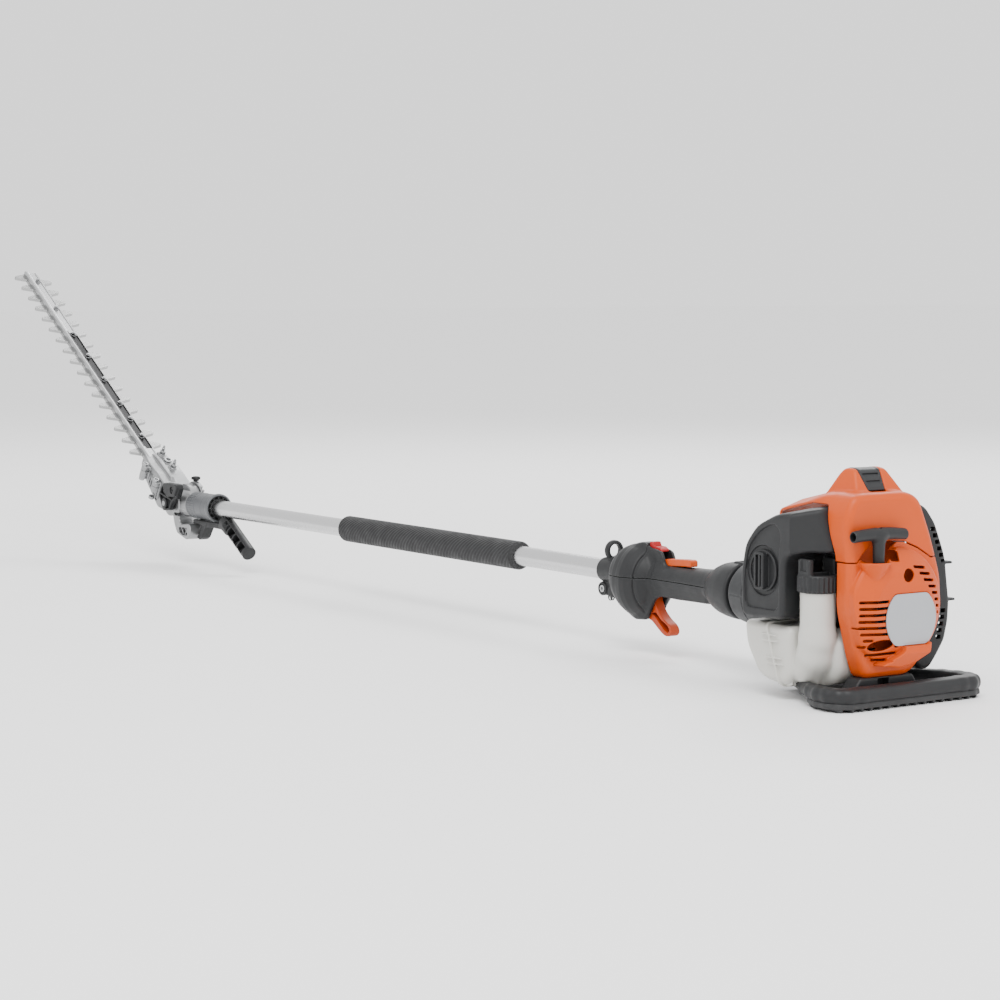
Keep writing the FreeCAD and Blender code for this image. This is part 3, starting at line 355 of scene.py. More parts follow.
def foam_surface():
    """Closed-cell foam with fine slanting grooves round the grip."""
    material, _ = surface("foam", "foam_black", (0.014, 0.014, 0.015), 0.66, grain=1500.0,
                             relief=0.5, depth=0.3,
                             wear=0.05, shine=0.25)
    nodes, wires, shader = links(material)
    coords = nodes.new("ShaderNodeTexCoord").outputs["Object"]
    split = nodes.new("ShaderNodeSeparateXYZ")
    wires.new(coords, split.inputs["Vector"])
    height = compute(nodes, wires, "SUBTRACT", split.outputs["Z"], POLE_Z * MM)
    angle = compute(nodes, wires, "ARCTAN2", height, split.outputs["Y"])
    turns = compute(nodes, wires, "MULTIPLY", angle, GROOVE_STARTS)
    wave = compute(nodes, wires, "SINE",
                   compute(nodes, wires, "MULTIPLY_ADD", split.outputs["X"], GROOVE_RATE, turns))
    bump = fill(nodes.new("ShaderNodeBump"), {"Strength": 0.55, "Distance": 0.7 * MM})
    wires.new(wave, bump.inputs["Height"])
    grained = shader.inputs["Normal"].links[0].from_socket
    wires.new(grained, bump.inputs["Normal"])
    wires.new(bump.outputs["Normal"], shader.inputs["Normal"])


ORANGE = surface("orange shell", "orange_shell", (0.54, 0.064, 0.001), 0.44, wear=0.04, shine=0.28)
DARK = surface("dark plastic", "dark_plastic", (0.0145, 0.015, 0.016), 0.50, grain=1100.0, relief=0.30,
               wear=0.10, bevel=0.5, shine=0.30)
GREY = surface("grey plastic", "grey_plastic", (0.019, 0.020, 0.0215), 0.48, grain=1100.0, relief=0.25,
               wear=0.08, shine=0.30)
TANK = surface("tank plastic", "tank_plastic", (0.52, 0.512, 0.475), 0.40, grain=500.0, wear=0.0, sss=0.15)
SILVER = surface("badge", "badge_silver", (0.35, 0.36, 0.38), 0.45, grain=1500.0, relief=0.05)
RED = surface("red plastic", "red_plastic", (0.36, 0.005, 0.007), 0.40, bevel=0.4, shine=0.28)
TRIGGER = surface("trigger plastic", "trigger_orange", (0.38, 0.038, 0.002), 0.42, shine=0.28)
surface("drawn aluminium", "tube_aluminium", (0.58, 0.58, 0.585), 0.27, metal=1.0, grain=420.0,
        relief=0.12, wear=0.0, stretch=(0.02, 1, 1))
CAST = surface("cast aluminium", "cast_aluminium", (0.30, 0.303, 0.307), 0.40, metal=0.9, grain=650.0,
               relief=0.45, depth=0.3, vary=0.10, wear=0.30, bevel=0.6)
RAIL = surface("rail aluminium", "rail_aluminium", (0.40, 0.404, 0.408), 0.36, metal=1.0, grain=500.0,
               relief=0.15, wear=0.25, stretch=(0.05, 1, 1))
surface("machined casting", "cast_steel", (0.24, 0.24, 0.25), 0.48, metal=0.9, grain=400.0,
        relief=0.3, wear=0.2)
surface("ground steel", "blade_steel", (0.25, 0.252, 0.25), 0.26, metal=1.0, grain=600.0,
        relief=0.25, wear=0.35, stretch=(1, 0.06, 1), bevel=0.3)
STEEL = surface("bright steel", "bright_steel", (0.36, 0.364, 0.368), 0.26, metal=1.0, relief=0.15,
                wear=0.2, bevel=0.3)
COLLAR = surface("collar paint", "collar_grey", (0.10, 0.104, 0.11), 0.42, metal=0.4, relief=0.15, wear=0.3)
foam_surface()
RUBBER = surface("black rubber", "black_rubber", (0.018, 0.018, 0.019), 0.62, relief=0.4, wear=0.05)
surface("pleated felt", "filter_felt", (0.60, 0.55, 0.42), 0.9, grain=1800.0, relief=0.8, wear=0.0)
CORD = surface("braided cord", "rope_cord", (0.68, 0.66, 0.60), 0.8, grain=2500.0, relief=0.9, wear=0.0)

WEB_START, WEB_END = 136.0, 467.0     # dark part of the rail's web, from the tilt axis
WEB_FACE_Y = 7.4                      # the web lies to the right of this


def darken_web(material):
    """Dark grey finish on the flat web of the rail, from its root to two thirds of its length."""
    nodes, wires, shader = links(material)
    bare = shader.inputs["Base Color"].links[0].from_socket
    split = nodes.new("ShaderNodeSeparateXYZ")
    wires.new(nodes.new("ShaderNodeTexCoord").outputs["Object"], split.inputs[0])
    place = []
    for axis, origin, share in (("X", TILT_X, math.cos), ("Z", POLE_Z, math.sin)):
        offset = compute(nodes, wires, "SUBTRACT", split.outputs[axis], origin * MM)
        place.append(compute(nodes, wires, "MULTIPLY", offset, share(math.radians(TILT_DEG))))
    along = compute(nodes, wires, "ADD", *place)
    web = compute(nodes, wires, "LESS_THAN", split.outputs["Y"], WEB_FACE_Y * MM)
    after = compute(nodes, wires, "GREATER_THAN", along, WEB_START * MM)
    before = compute(nodes, wires, "LESS_THAN", along, WEB_END * MM)
    mask = compute(nodes, wires, "MULTIPLY", compute(nodes, wires, "MULTIPLY", after, before), web)
    wires.new(mixed(nodes, wires, mask, bare, (0.022, 0.022, 0.023)), shader.inputs["Base Color"])


def dress_nodes():
    """Every CAD node takes the material of its slot in the record."""
    for entry in frame["record"]["subparts"]:
        obj = frame["nodes"][entry["node"]]
        obj.data.materials.clear()
        obj.data.materials.append(BY_SLOT[entry["material_slot"]])


darken_web(RAIL[0])
dress_nodes()


# ---- engine covers

SEAM = [(90, 56), (57, 56), (50, 64), (42, 70), (33, 73.5), (14, 76), (-5, 74.5), (-24, 67),
        (-42, 56.5), (-60, 57)]


def seam_height(y):
    """Height of the seam between the top cover and the starter cover."""
    ys = [p[0] for p in SEAM][::-1]
    zs = [p[1] for p in SEAM][::-1]
    return np.interp(y, ys, zs).astype(np.float32)


def rear_outline(g):
    """Rear outline of the whole engine shell, above and below the seam."""
    points = [(66, 56), (70, 84), (69, 104), (61, 121), (48, 127), (-8, 127), (-28, 117), (-43, 82),
              (-52, 56)]
    points += [(-58, 36), (-60, 4), (-46, -28), (-26, -54), (-14, -62), (45, -62), (54, -38), (66, 8)]
    return outline(g.y, g.z, soften(points, 8))


def engine_shell(g):
    rear = rear_outline(g)
    crown = np.interp(g.x, [15, 38, 62, 84, 120, 150, 172, 190], [125, 127.5, 127.5, 124, 116, 109, 101, 90])
    droop = np.clip((g.x - 45) / 60, 0, 1) * np.maximum(np.abs(g.y - 4) - 10, 0) * 0.30
    roof = (g.z - crown.astype(np.float32) + droop) * 0.93
    d = both(rear, roof, 5.0)
    nose = (g.x - 190 + 1.2 * np.maximum(g.y - 12, 0)) * 0.75
    return both(both(d, 15 - g.x, 8.0), nose, 4.0)


def engine_hump(g):
    side = [(24, 102), (31, 122), (47, 147), (53, 149.4), (61, 149), (68, 143), (84, 114), (88, 102)]
    rear = [(-31, 102), (-24, 114), (-7, 148.8), (33, 149.6), (44, 122), (52, 102)]
    return both(outline(g.x, g.z, soften(side, 5)), outline(g.y, g.z, soften(rear, 5)), 3.5)


def insert_width(g):
    return np.abs(g.y - 15.5) - (11.0 + np.clip(g.z - 125, 0, 25) * 0.17)


def make_top_cover():
    g = Grid((13, -62, 50), (194, 74, 152), 1.0)
    d = either(engine_shell(g), engine_hump(g), 3.0)
    d = less(d, d + 3.0)
    d = both(d, seam_height(g.y) + 0.6 - g.z, 0.6)
    edge = (37.5 + np.maximum(g.z - 64, 0) * 0.26 - g.x) * 0.97
    d = less(d, both(edge, both(40.5 - g.y, g.z - 112.5, 2.0), 2.0), 0.8)
    d = less(d, both(37 - g.x, both(g.y + 31, g.z - 116, 2.0), 2.0), 0.8)
    d = less(d, both(92 - g.x, g.z - 80, 1.0))
    pad = outline(g.x, g.z, [(36.2, 124.8), (50.4, 145.4), (54, 146.4), (66, 146), (66, 170), (0, 170),
                             (10, 124.8)])
    d = less(d, both(pad, insert_width(g) - 0.5, 0.6), 0.5)
    solid("top_shell", g, d, ORANGE, ["top_cover"])


def make_top_insert():
    g = Grid((26, -2, 120), (70, 34, 153), 0.5)
    skin = engine_hump(g)
    d = both(skin + 0.2, -(skin + 2.6), 0.4)
    d = both(d, insert_width(g), 1.0)
    d = both(d, both(g.x - 65, 125.8 - g.z), 1.0)
    for k in range(3):
        h = 129.5 + 6.2 * k
        step = both(slab(g.z - (g.x - 34) * 0.20, h, h + 4.6), insert_width(g) + 3.2, 1.0)
        deep = 1.5 * np.clip((g.z - (g.x - 34) * 0.20 - h) / 4.6, 0, 1)
        d = less(d, both(step, -(skin + 0.2 + deep)), 0.3)
    solid("hump_insert", g, d, GREY, ["top_insert"])


DOME = (8.0, 10.0)        # middle of the starter's dome, y and z
BADGE = (-0.5, -2.0)      # middle of the badge plate, y and z
ROPE = (6.0, 37.0)        # starter rope, x and y
ROPE_ENDS = (124.0, 156.0)
SLOT_TALL = 2.8
CAP = (59.0, 70.0)        # fuel cap, x and y
COVER_KNOB = (116.0, 42.0)    # knob of the air filter cover, x and z


def starter_dome(g):
    """Raised round face with a sloping rim."""
    r = np.hypot(g.y - DOME[0], g.z - DOME[1])
    return outline(g.x, r, [(-1.5, 0), (-1.5, 36), (0.5, 42), (8.5, 57), (11, 59.5), (26, 60), (26, 0)])


def slot_cut(g, h, low, high, slant=0.0):
    """Cooling slot at height h, from low to high across the machine."""
    middle = (low + high) / 2
    height = slab(g.z - (g.y - middle) * slant, h - SLOT_TALL / 2, h + SLOT_TALL / 2)
    return both(height, slab(g.y, low, high), 1.2)


def make_starter_cover():
    g = Grid((-9, -63, -64), (38, 72, 80), 0.8)
    shell = both(engine_shell(g), g.x - 35.5, 0.5)
    rim = rear_outline(g)
    dome = both(starter_dome(g), rim + 0.6, 1.0)
    outer = either(shell, dome, 1.5)
    cone = (np.hypot((g.x - 8) / 0.86, g.y - 40) - (0.6 + (g.z - 27) * 0.58)) * 0.85
    cone = both(cone, slab(g.z, 25, 57), 1.5)
    outer = either(outer, cone, 0.8)
    tab = [(9, -22.5), (-15, -21), (-25, -26), (-24, -37), (-6, -47.5), (12, -51), (36, -47.5),
           (15, -37), (9, -33)]
    ramp = slab(g.x - np.maximum(-36 - g.z, 0) * 0.45, -7.0, 14)
    outer = either(outer, both(outline(g.y, g.z, soften(tab, 2.5)), ramp, 1.8), 1.0)
    inner = either(shell + 2.6, both(starter_dome(g) + 2.6, rim + 3.6))
    d = less(outer, inner)
    for i in range(7):
        h = 17.3 - 6.5 * i
        far = min(61.0, DOME[0] + math.sqrt(56.0 ** 2 - (h - DOME[1]) ** 2))
        near = 44 if i == 6 else 28
        d = less(d, slot_cut(g, h, near, far), 0.5)
    for h, near, far, slant in ((-28.4, 49.5, 54, 0), (-28.2, 14.5, 19.5, 0), (-36.2, 15, 46, -0.06),
                                (-42.4, 24, 38, 0)):
        d = less(d, slot_cut(g, h, near, far, slant), 0.5)
    for i in range(8):
        h = 49.0 - 6.8 * i
        outside = 10 - math.sqrt(55.0 ** 2 - (h - 6) ** 2)
        length = max(4.0, min(19.0, 25 - 3.0 * i))
        cut = slot_cut(g, h, outside, outside + length, slant=0.12)
        d = less(d, both(cut, g.x - 14.5), 0.5)
    d = less(d, both(circle(g.y, g.z, 2.5, 42, 6.8), g.x - 12.0, 0.5), 0.8)
    oval = np.hypot((g.y - 35) / 2.3, (g.z + 27) + (g.y - 35) * 0.10) - 5.8
    d = less(d, both(oval, g.x - 12.0, 0.5), 0.8)
    cup = (np.hypot((g.x - 7) / 0.86, g.y - 39) - (3.5 + np.maximum(g.z - 48, 0) * 1.20)) * 0.8
    d = less(d, both(cup, 44 - g.z), 0.6)
    d = less(d, both(circle(g.x, g.y, *ROPE, 3.0), 30 - g.z))
    nook = both(outline(g.y, g.z, soften([(22, 57), (11, 56), (10, 66), (20, 68)], 2)), g.x - 12.5, 0.5)
    d = less(d, nook, 1.2)
    d = both(d, g.z - (seam_height(g.y) - 0.6), 0.6)
    plate = both(circle(g.y, g.z, *BADGE, 33.8), slab(g.z, -28.8, 24.4))
    d = less(d, both(plate, g.x + 0.6))
    solid("starter_shell", g, d, ORANGE, ["starter_cover"])


def make_badge():
    g = Grid((-5, -36, -31), (2, 35, 27), 0.5)
    disc = both(circle(g.y, g.z, *BADGE, 33.2), slab(g.z, -28.2, 23.8), 2.0)
    d = both(disc, slab(g.x, -2.6, -0.6), 0.6)
    line = both(-(disc + 1.8), disc + 1.2)
    d = less(d, both(line, g.x + 2.3), 0.2)
    solid("name_plate", g, d, SILVER, ["starter_badge"])


def make_starter_handle():
    g = Grid((-4, -2, 50), (16, 76, 96), 0.6)
    y = g.y - 36.5
    flat = np.hypot(g.x - 6, g.z - 85.2 + 0.0016 * y * y) - (6.6 - np.abs(y) * 0.022)
    bar = both(flat, slab(g.y, 1.5, 71.5), 1.8)
    stem = np.hypot(g.x - 6, y - 0.5) - (5.6 + np.maximum(g.z - 54, 0) * 0.035)
    d = either(bar, both(stem, slab(g.z, 54, 85), 1.0), 5.0)
    bore = np.hypot(g.x - 6, g.z - 83.4) - 4.3
    d = less(d, both(bore, 58 - g.y, 0.5), 0.6)
    d = less(d, both(bore, g.y - 12, 0.5), 0.6)
    d = less(d, both(np.hypot(g.x - 6, y - 0.5) - 3.2, 89.8 - g.z), 0.5)
    d = less(d, both(np.hypot(g.x - 6, y - 0.5) - 2.2, g.z - 67))
    solid("pull_grip", g, d, DARK, ["starter_handle"], "pull_handle")


def make_rope():
    """Free end of the starter rope, which pays out between its guide in the cover and its handle."""
    (x, y), (low, high), radius = ROPE, ROPE_ENDS, 1.7
    rings, sides = 80, 16
    points = []
    for i in range(rings + 1):
        z = low + (high - low) * i / rings
        for k in range(sides):
            angle = 2 * math.pi * k / sides
            points.append(((x + radius * math.cos(angle)) * MM, (y + radius * math.sin(angle)) * MM, z * MM))
    faces = [tuple(range(sides))[::-1], tuple(range(rings * sides, (rings + 1) * sides))]
    for i in range(rings):
        for k in range(sides):
            a, b = i * sides + k, i * sides + (k + 1) % sides
            faces.append((a, b, b + sides, a + sides))
    mesh = bpy.data.meshes.new("rope")
    mesh.from_pydata(points, [], faces)
    mesh.shade_smooth()
    obj = dressed("pull_rope", mesh, CORD)
    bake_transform(obj)
    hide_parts("starter_rope")


def make_air_cover():
    g = Grid((36, 42, -12), (156, 99, 118), 0.8)
    side = [(148, -8), (83, -6), (82, 52), (76, 60), (62, 64), (38, 64), (49.5, 112), (64, 110), (96, 101)]
    side += [(126, 88), (144, 68), (151, 34)]
    d = outline(g.x, g.z, soften(side, 9))
    lean = (g.y - 97 + 0.85 * np.maximum(72 - g.x, 0)) * 0.80
    roof = (g.z - 112 + np.maximum(g.y - 62, 0) * 0.28) * 0.95
    d = both(both(d, roof, 4.0), both(lean, 43 - g.y), 4.5)
    arch = [(143, 3), (90, 3), (90, 62), (86, 78), (92, 90), (104, 90), (122, 81), (138, 64), (144, 34)]
    recess = outline(g.x, g.z, soften(arch, 9))
    d = less(d, both(recess, 94.6 - g.y), 1.6)
    bowl = both(circle(g.x, g.z, *COVER_KNOB, 25.5), 92.6 - g.y)
    d = less(d, bowl, 1.2)
    for i in range(3):
        x = 50 + i * 13.0
        d = less(d, both(both(slab(g.x, x, x + 9), slab(g.y, 52, 62), 1.0), 106.0 - g.z), 0.6)
    for i in range(3):
        louvre = slab(g.x - (g.y - 60) * 0.1, 84 + 5 * i, 86.2 + 5 * i)
        d = less(d, both(both(louvre, slab(g.y, 54, 76), 0.8), 92.0 - g.z), 0.4)
    solid("filter_cover", g, d, DARK, ["air_filter_cover"])


def make_cover_knob():
    g = Grid((92, 84, 18), (140, 106, 66), 0.5)
    r = np.hypot(g.x - COVER_KNOB[0], g.z - COVER_KNOB[1])
    d = both(r - 21.5, slab(g.y, 86, 95.6), 1.2)
    d = less(d, both(r - 18.8, 93.4 - g.y), 0.8)
    bar = both(both(slab(g.x, 108.5, 123.5), r - 19.6, 2.0), slab(g.y, 88, 101.5), 1.6)
    hollow = both(both(slab(g.x, 111.5, 120.5), r - 16.5, 1.0), 97.0 - g.y)
    bar = less(bar, hollow, 0.6)
    rib = both(both(slab(g.x, 114.6, 117.4), r - 17.0), slab(g.y, 94, 100.6), 0.5)
    solid("cover_knob", g, either(d, either(bar, rib), 0.8), DARK, ["filter_cover_knob"], "cover_knob")


def make_fuel_cap():
    g = Grid((34, 45, 20), (84, 95, 62), 0.6)
    x, y = g.x - CAP[0], g.y - CAP[1]
    r = np.hypot(x, y)
    angle = np.arctan2(y, x)
    ribs = 0.55 * np.cos(angle * 26)
    d = both(r - 21.0 - np.where(g.z < 40, ribs, 0), slab(g.z, 24, 42), 2.0)
    d = less(d, both(r - 15.5, 40.0 - g.z, 1.0), 1.5)
    for side in (-1, 1):
        y0 = CAP[1] + side * 16.5
        ear = block(g, (50, 68), (y0 - 3.4, y0 + 3.4), (30, 58), 2.0)
        d = either(d, ear, 1.5)
        window = both(slab(g.x, 54.5, 63.5), slab(g.y - side * 3.6, y0 - 2.0, y0 + 2.0), 0.8)
        d = less(d, both(window, 46 - g.z), 0.6)
    d = either(d, block(g, (56.5, 61.5), (54, 86), (38, 44), 1.0), 1.0)
    solid("tank_cap", g, d, DARK, ["fuel_cap"], "cap")


def make_tank():
    g = Grid((22, -44, -80), (160, 94, 26), 1.1)
    body = [(156, -12), (152, -38), (133, -66), (118, -72), (88, -74), (78, -62), (80, -30), (80, -14)]
    left = prism(g, "xz", body, 8, 34, 88, 7.0)
    under = prism(g, "xz", [(140, -42), (132, -67), (80, -73), (52, -66), (46, -44)], 4, -40, 60, 6.0)
    d = either(left, under, 6.0)
    back = [(90, -14), (90, -73), (60, -73), (44, -68), (37, -54), (38, -26), (60, -14)]
    d = either(d, prism(g, "xz", back, 7, 30, 62, 9.0), 3.0)
    neck = path(g, [(*CAP, 26), (*CAP, -24), (63, 69, -42), (74, 66, -55), (90, 62, -58)],
                [18.2, 17.8, 17.8, 17.0, 14.0], 6.0)
    d = either(d, both(neck, g.z - 24.0), 2.5)
    skin = d
    lean = g.x - 117 - (g.z + 11) * 0.345
    seam = both(slab(lean, -1.4, 1.4), skin - 3.0, 0.8)
    d = either(d, both(seam, both(slab(g.z, -80, -11), 34 - g.y)), 0.4)
    for h in (-24.0, -30.0, -47.0, -53.0):
        cross = both(both(slab(g.z, h - 0.8, h + 0.8), slab(lean, -12, 12)), skin - 2.4, 0.5)
        d = either(d, both(cross, 60 - g.y), 0.3)
    for k in range(4):
        y = 80 - 11 * k
        cross = both(both(slab(g.y, y - 0.8, y + 0.8), slab(lean, -12, 12)), skin - 2.4, 0.5)
        d = either(d, both(cross, g.z + 64), 0.3)
    gap = rear_outline(g) - 1.5
    d = less(d, both(gap, g.x - 37.5), 1.0)
    d = less(d, both(np.hypot(g.y, g.z) - 43.5, 60 - g.x), 1.0)
    solid("white_tank", g, d, TANK, ["fuel_tank"])


def make_guard():
    g = Grid((34, -99, -70), (190, -28, 122), 0.9)
    rear = [(-29, 118), (-46, 114), (-61, 104), (-72, 88), (-84, 50), (-90, 6), (-89, -14), (-84, -34),
            (-73, -50)]
    rear += [(-63, -62), (-52, -64), (-40, -54), (-29, -20)]
    side = [(36.5, -66), (36.5, 60), (42, 108), (62, 119), (100, 119), (140, 113), (170, 104),
            (187, 92), (186, 82)]
    side += [(152, 76), (150, -40), (128, -66)]
    plan = outline(g.y, g.z, soften(rear, 5))
    profile = outline(g.x, g.z, soften(side, 6))
    outer = both(plan, profile, 5.0)
    d = less(outer, outer + 3.0)
    d = both(d, g.y + 31.5)
    for top, count, y0, lean in ((84.0, 6, -67.0, 0.36), (-1.0, 5, -80.0, -0.22)):
        for i in range(count):
            h = top - 6.8 * i
            y = y0 - (top - h) * lean
            hole = both(both(slab(g.y, y - 3.0, y + 3.4), slab(g.z, h - 4.2, h), 0.8), g.x - 46)
            d = less(d, hole, 0.5)
            for k in range(7):
                x = 48 + 14.0 * k
                side_hole = both(slab(g.x, x, x + 9.0), slab(g.z, h - 4.2, h), 0.8)
                d = less(d, both(side_hole, g.y + 62), 0.5)
    for h in (46.0, 7.5):
        fin = both(plan - 9.0, slab(g.z, h - 1.4, h + 1.4), 0.8)
        fin = both(fin, both(slab(g.x, 38, 146), g.y + 72, 1.0), 0.8)
        d = either(d, both(fin, -(g.y + 98)), 1.0)
    d = less(d, both(-(g.y + 42), g.z + 40))
    solid("silencer_guard", g, d, DARK, ["muffler_guard"])


# ---- coupling and throttle handle

def make_clutch_housing():
    g = Grid((140, -44, -44), (252, 44, 44), 1.0)
    r = np.hypot(g.y, g.z)
    profile = [(142, 0), (142, 40), (150, 42), (180, 40.5), (215, 37.5), (235, 35), (243, 34),
               (249, 33), (249, 0)]
    d = outline(g.x, r, profile)
    d = less(d, both(slab(g.x, 222.5, 223.6), 35.2 - r), 0.3)
    d = less(d, both(slab(g.z, -0.5, 0.5), both(slab(g.x, 224, 256), -(d + 0.7))), 0.2)
    d = less(d, both(r - 31.0, g.x - 176))
    solid("coupling_shell", g, d, GREY, ["clutch_housing"])


def make_adapter():
    g = Grid((246, -34, -34), (311, 34, 34), 0.8)
    r = np.hypot(g.y, g.z)
    profile = [(257, 0), (257, 31.6), (264, 31.8), (277, 30.8), (290, 28.4), (300, 24.5), (305, 21),
               (308, 19.7), (308, 0)]
    d = outline(g.x, r, soften(profile, 4))
    d = both(d, slab(g.x, 256, 308), 0.6)
    latch = both(both(slab(g.x, 247, 270), slab(g.y, -9, 9), 2.0), slab(g.z, 24, 32.4), 1.0)
    d = either(d, latch, 1.0)
    d = less(d, both(both(slab(g.x, 258, 266), slab(g.y, -5, 5), 1.0), 31.4 - g.z), 0.5)
    d = less(d, r - TUBE_R)
    solid("adapter_flare", g, d, DARK, ["adapter_cone"])


# outline of the grip and the hand guard, x and radius
GUARD = [(308, 0), (308, 19.6), (315, 18.6), (332, 17.6), (380, 17.0), (402, 17.2), (409, 18.4),
         (414, 21), (417, 26)]
GUARD += [(421, 32.5), (428, 38.5), (436, 42.6), (443, 44.3), (450, 43.6), (458, 41), (466, 36.5),
          (473, 30.5)]
GUARD += [(478, 23), (481, 15), (481, 0)]


# room for the trigger, the lockout wedge and the stop rocker: range of x, half width and range of z
POCKETS = (((398, 437.5), 7.4, (-60, -13.5)), ((347, 416.5), 5.6, (12.3, 32)), ((401.5, 430), 6.6,
                                                                                (29.5, 60)))


def handle_field(g):
    """Grip, bell-shaped hand guard, switch hump and trigger housing in one."""
    sink = np.clip((g.x - 406) / 20, 0, 1) * np.clip((481 - g.x) / 30, 0, 1)
    r = np.hypot(g.y * (1 + 0.16 * sink), g.z + 6.0 * sink) * (1 + 0.03 * sink)
    d = outline(g.x, r, GUARD)
    belly = [(312, -10), (312, -19), (366, -20), (400, -19.5), (410, -24), (418, -38), (424, -49),
             (446, -50), (452, -44), (452, -10)]
    d = either(d, prism(g, "xz", belly, 5, -12.5, 12.5, 2.5), 5.0)
    hump = [(392, 8), (396, 24), (400, 31), (408, 33), (420, 34), (428, 38.2), (436, 39.6), (446, 36),
            (456, 30), (460, 8)]
    d = either(d, prism(g, "xz", hump, 3, -10.0, 10.0, 3.0), 5.0)
    groove = both(np.abs(g.x - 425.5) - 0.9, both(-(d + 1.4), -40 - g.z))
    d = less(d, groove, 0.3)
    d = less(d, np.hypot(g.y, g.z) - TUBE_R - 0.1)
    for along, half, height in POCKETS:
        pocket = both(slab(g.x, *along), both(slab(g.y, -half, half), slab(g.z, *height)), 1.0)
        d = less(d, pocket, 0.8)
    return d


def make_handle():
    for name, node, low, high in (("handle_top", "throttle_handle_upper", 0.3, 46.0),
                                  ("handle_bottom", "throttle_handle_lower", -52.0, -0.3)):
        g = Grid((306, -48, low - 1.5), (483, 48, high + 1.5), 0.8)
        d = both(handle_field(g), slab(g.z, low, high), 0.3)
        if low < 0:
            for x in (352.0, 384.0):
                d = less(d, both(circle(g.x, g.y, x, 0, 3.6), g.z + 17.2), 0.5)
        solid(name, g, d, DARK, [node])


def make_trigger():
    g = Grid((380, -8, -71), (440, 8, -15), 0.5)
    side = [(419, -18), (430, -19), (434, -30), (434, -42), (429, -48), (421, -49.5), (404, -61),
            (396, -65), (387, -64)]
    side += [(383.5, -59), (387, -52), (399, -46), (409, -38), (415, -28)]
    d = prism(g, "xz", side, 5, -6.4, 6.4, 1.2)
    pocket = [(423, -41), (415, -44.5), (398, -58), (390, -61), (387.5, -57), (392, -52), (403, -47.5),
              (413, -39.5)]
    d = less(d, both(outline(g.x, g.z, soften(pocket, 3)), -3.6 - g.y), 0.8)
    well = soften([(420, -22), (428, -22), (431, -32), (430, -39), (424, -39), (418, -30)], 2)
    d = less(d, both(outline(g.x, g.z, well), 3.0 - g.y), 0.6)
    solid("throttle_lever", g, d, TRIGGER, ["throttle_trigger"], "trigger")


def make_lockout():
    g = Grid((348, -7, 11), (416, 7, 30), 0.5)
    wedge = [(413.5, 15), (413.5, 20.2), (395, 23.0), (366, 25.0), (353, 25.6), (350.2, 24), (350.2, 17.6)]
    wedge += [(372, 16.6), (398, 14.2), (407, 13.2)]
    d = prism(g, "xz", wedge, 1.6, -5.2, 5.2, 1.4)
    high = 24.8 - 0.06 * (g.x - 353)
    for i in range(5):
        groove = both(slab(g.x, 358 + 5 * i, 359.6 + 5 * i), both(slab(g.y, -3.6, 3.6), high - g.z))
        d = less(d, groove, 0.4)
    solid("lockout_wedge", g, d, ORANGE, ["trigger_lockout"], "lockout")


def make_stop_rocker():
    g = Grid((400, -8, 28), (434, 8, 46), 0.5)
    rocker = [(404, 30.2), (404, 32.5), (409, 35.6), (416, 35.8), (418, 36.2), (420, 40.6), (425.4, 40.6)]
    rocker += [(425.4, 30.2)]
    d = prism(g, "xz", rocker, 1.2, -5.9, 5.9, 1.0)
    for i in range(3):
        groove = both(slab(g.x, 408.5 + 4 * i, 409.8 + 4 * i), both(slab(g.y, -4, 4), 35.0 - g.z))
        d = less(d, groove, 0.3)
    solid("stop_rocker", g, d, RED, ["stop_switch"], "switch")


LUG = (514, -22)      # front lug of the harness clamp, x and z


def make_clamp():
    g = Grid((478, -16, -38), (524, 16, 38), 0.6)
    r = np.hypot(g.y, g.z)
    d = both(r - 14.4, slab(g.x, 489, 518), 1.2)
    d = either(d, both(r - 13.2, slab(g.x, 483, 492)), 0.3)
    eye_r = np.hypot(g.y, g.z - 23.5)
    neck = both(outline(g.x, g.z, [(492, 12), (516, 12), (508, 16.5),
                                   (496, 16.5)]), slab(g.y, -5.5, 5.5), 2.0)
    d = either(d, neck, 3.0)
    eye = both(eye_r - 12.0, slab(g.x, 498, 506), 2.6)
    d = either(d, eye, 2.5)
    for x, z, radius in ((*LUG, 8.0), (496, -24, 6.6)):
        d = either(d, disc(g, "xz", x, z, radius, -9, 9, 1.2), 1.5)
    web = both(outline(g.x, g.z, [(488, -10), (516, -10), (514, -25), (505, -30),
                                  (494, -29)]), slab(g.y, -6.5, 6.5), 1.0)
    d = either(d, web, 1.0)
    d = either(d, disc(g, "xz", 507, -31.5, 4.6, -2.2, 2.2, 1.0), 1.5)
    d = less(d, both(eye_r - 7.5, g.x - 600), 1.6)
    d = less(d, disc(g, "xz", 507, -32.5, 2.2, -9, 9), 0.5)
    d = less(d, r - TUBE_R - 0.05)
    d = less(d, both(slab(g.y, -0.9, 0.9), both(g.z + 8, 482 - g.x)), 0.3)
    d = less(d, outline(g.x, r, GUARD) - 0.3, 0.3)
    d = less(d, both(circle(g.x, g.z, *LUG, 5.6), 6.2 - g.y, 0.3), 0.5)
    screw = disc(g, "xz", *LUG, 4.4, 5, 8.2, 0.6)
    d = either(d, less(screw, both(circle(g.x, g.z, *LUG, 2.2), 6.4 - g.y), 0.3))
    solid("harness_clamp", g, d, DARK, ["suspension_clamp"])


# ---- stand

NARROWER = 6.0        # the left side of the foot's bar is this much nearer the middle


def foot_bar(g, half, z, radii):
    """Round bar along the foot.  half holds (x, y) from the front to the middle of the rear."""
    left = [(x, y - NARROWER, z) for x, y in half]
    right = [(x, -y, z) for x, y in half]
    return path(g, left + right[::-1], radii + radii[::-1], 2.0)


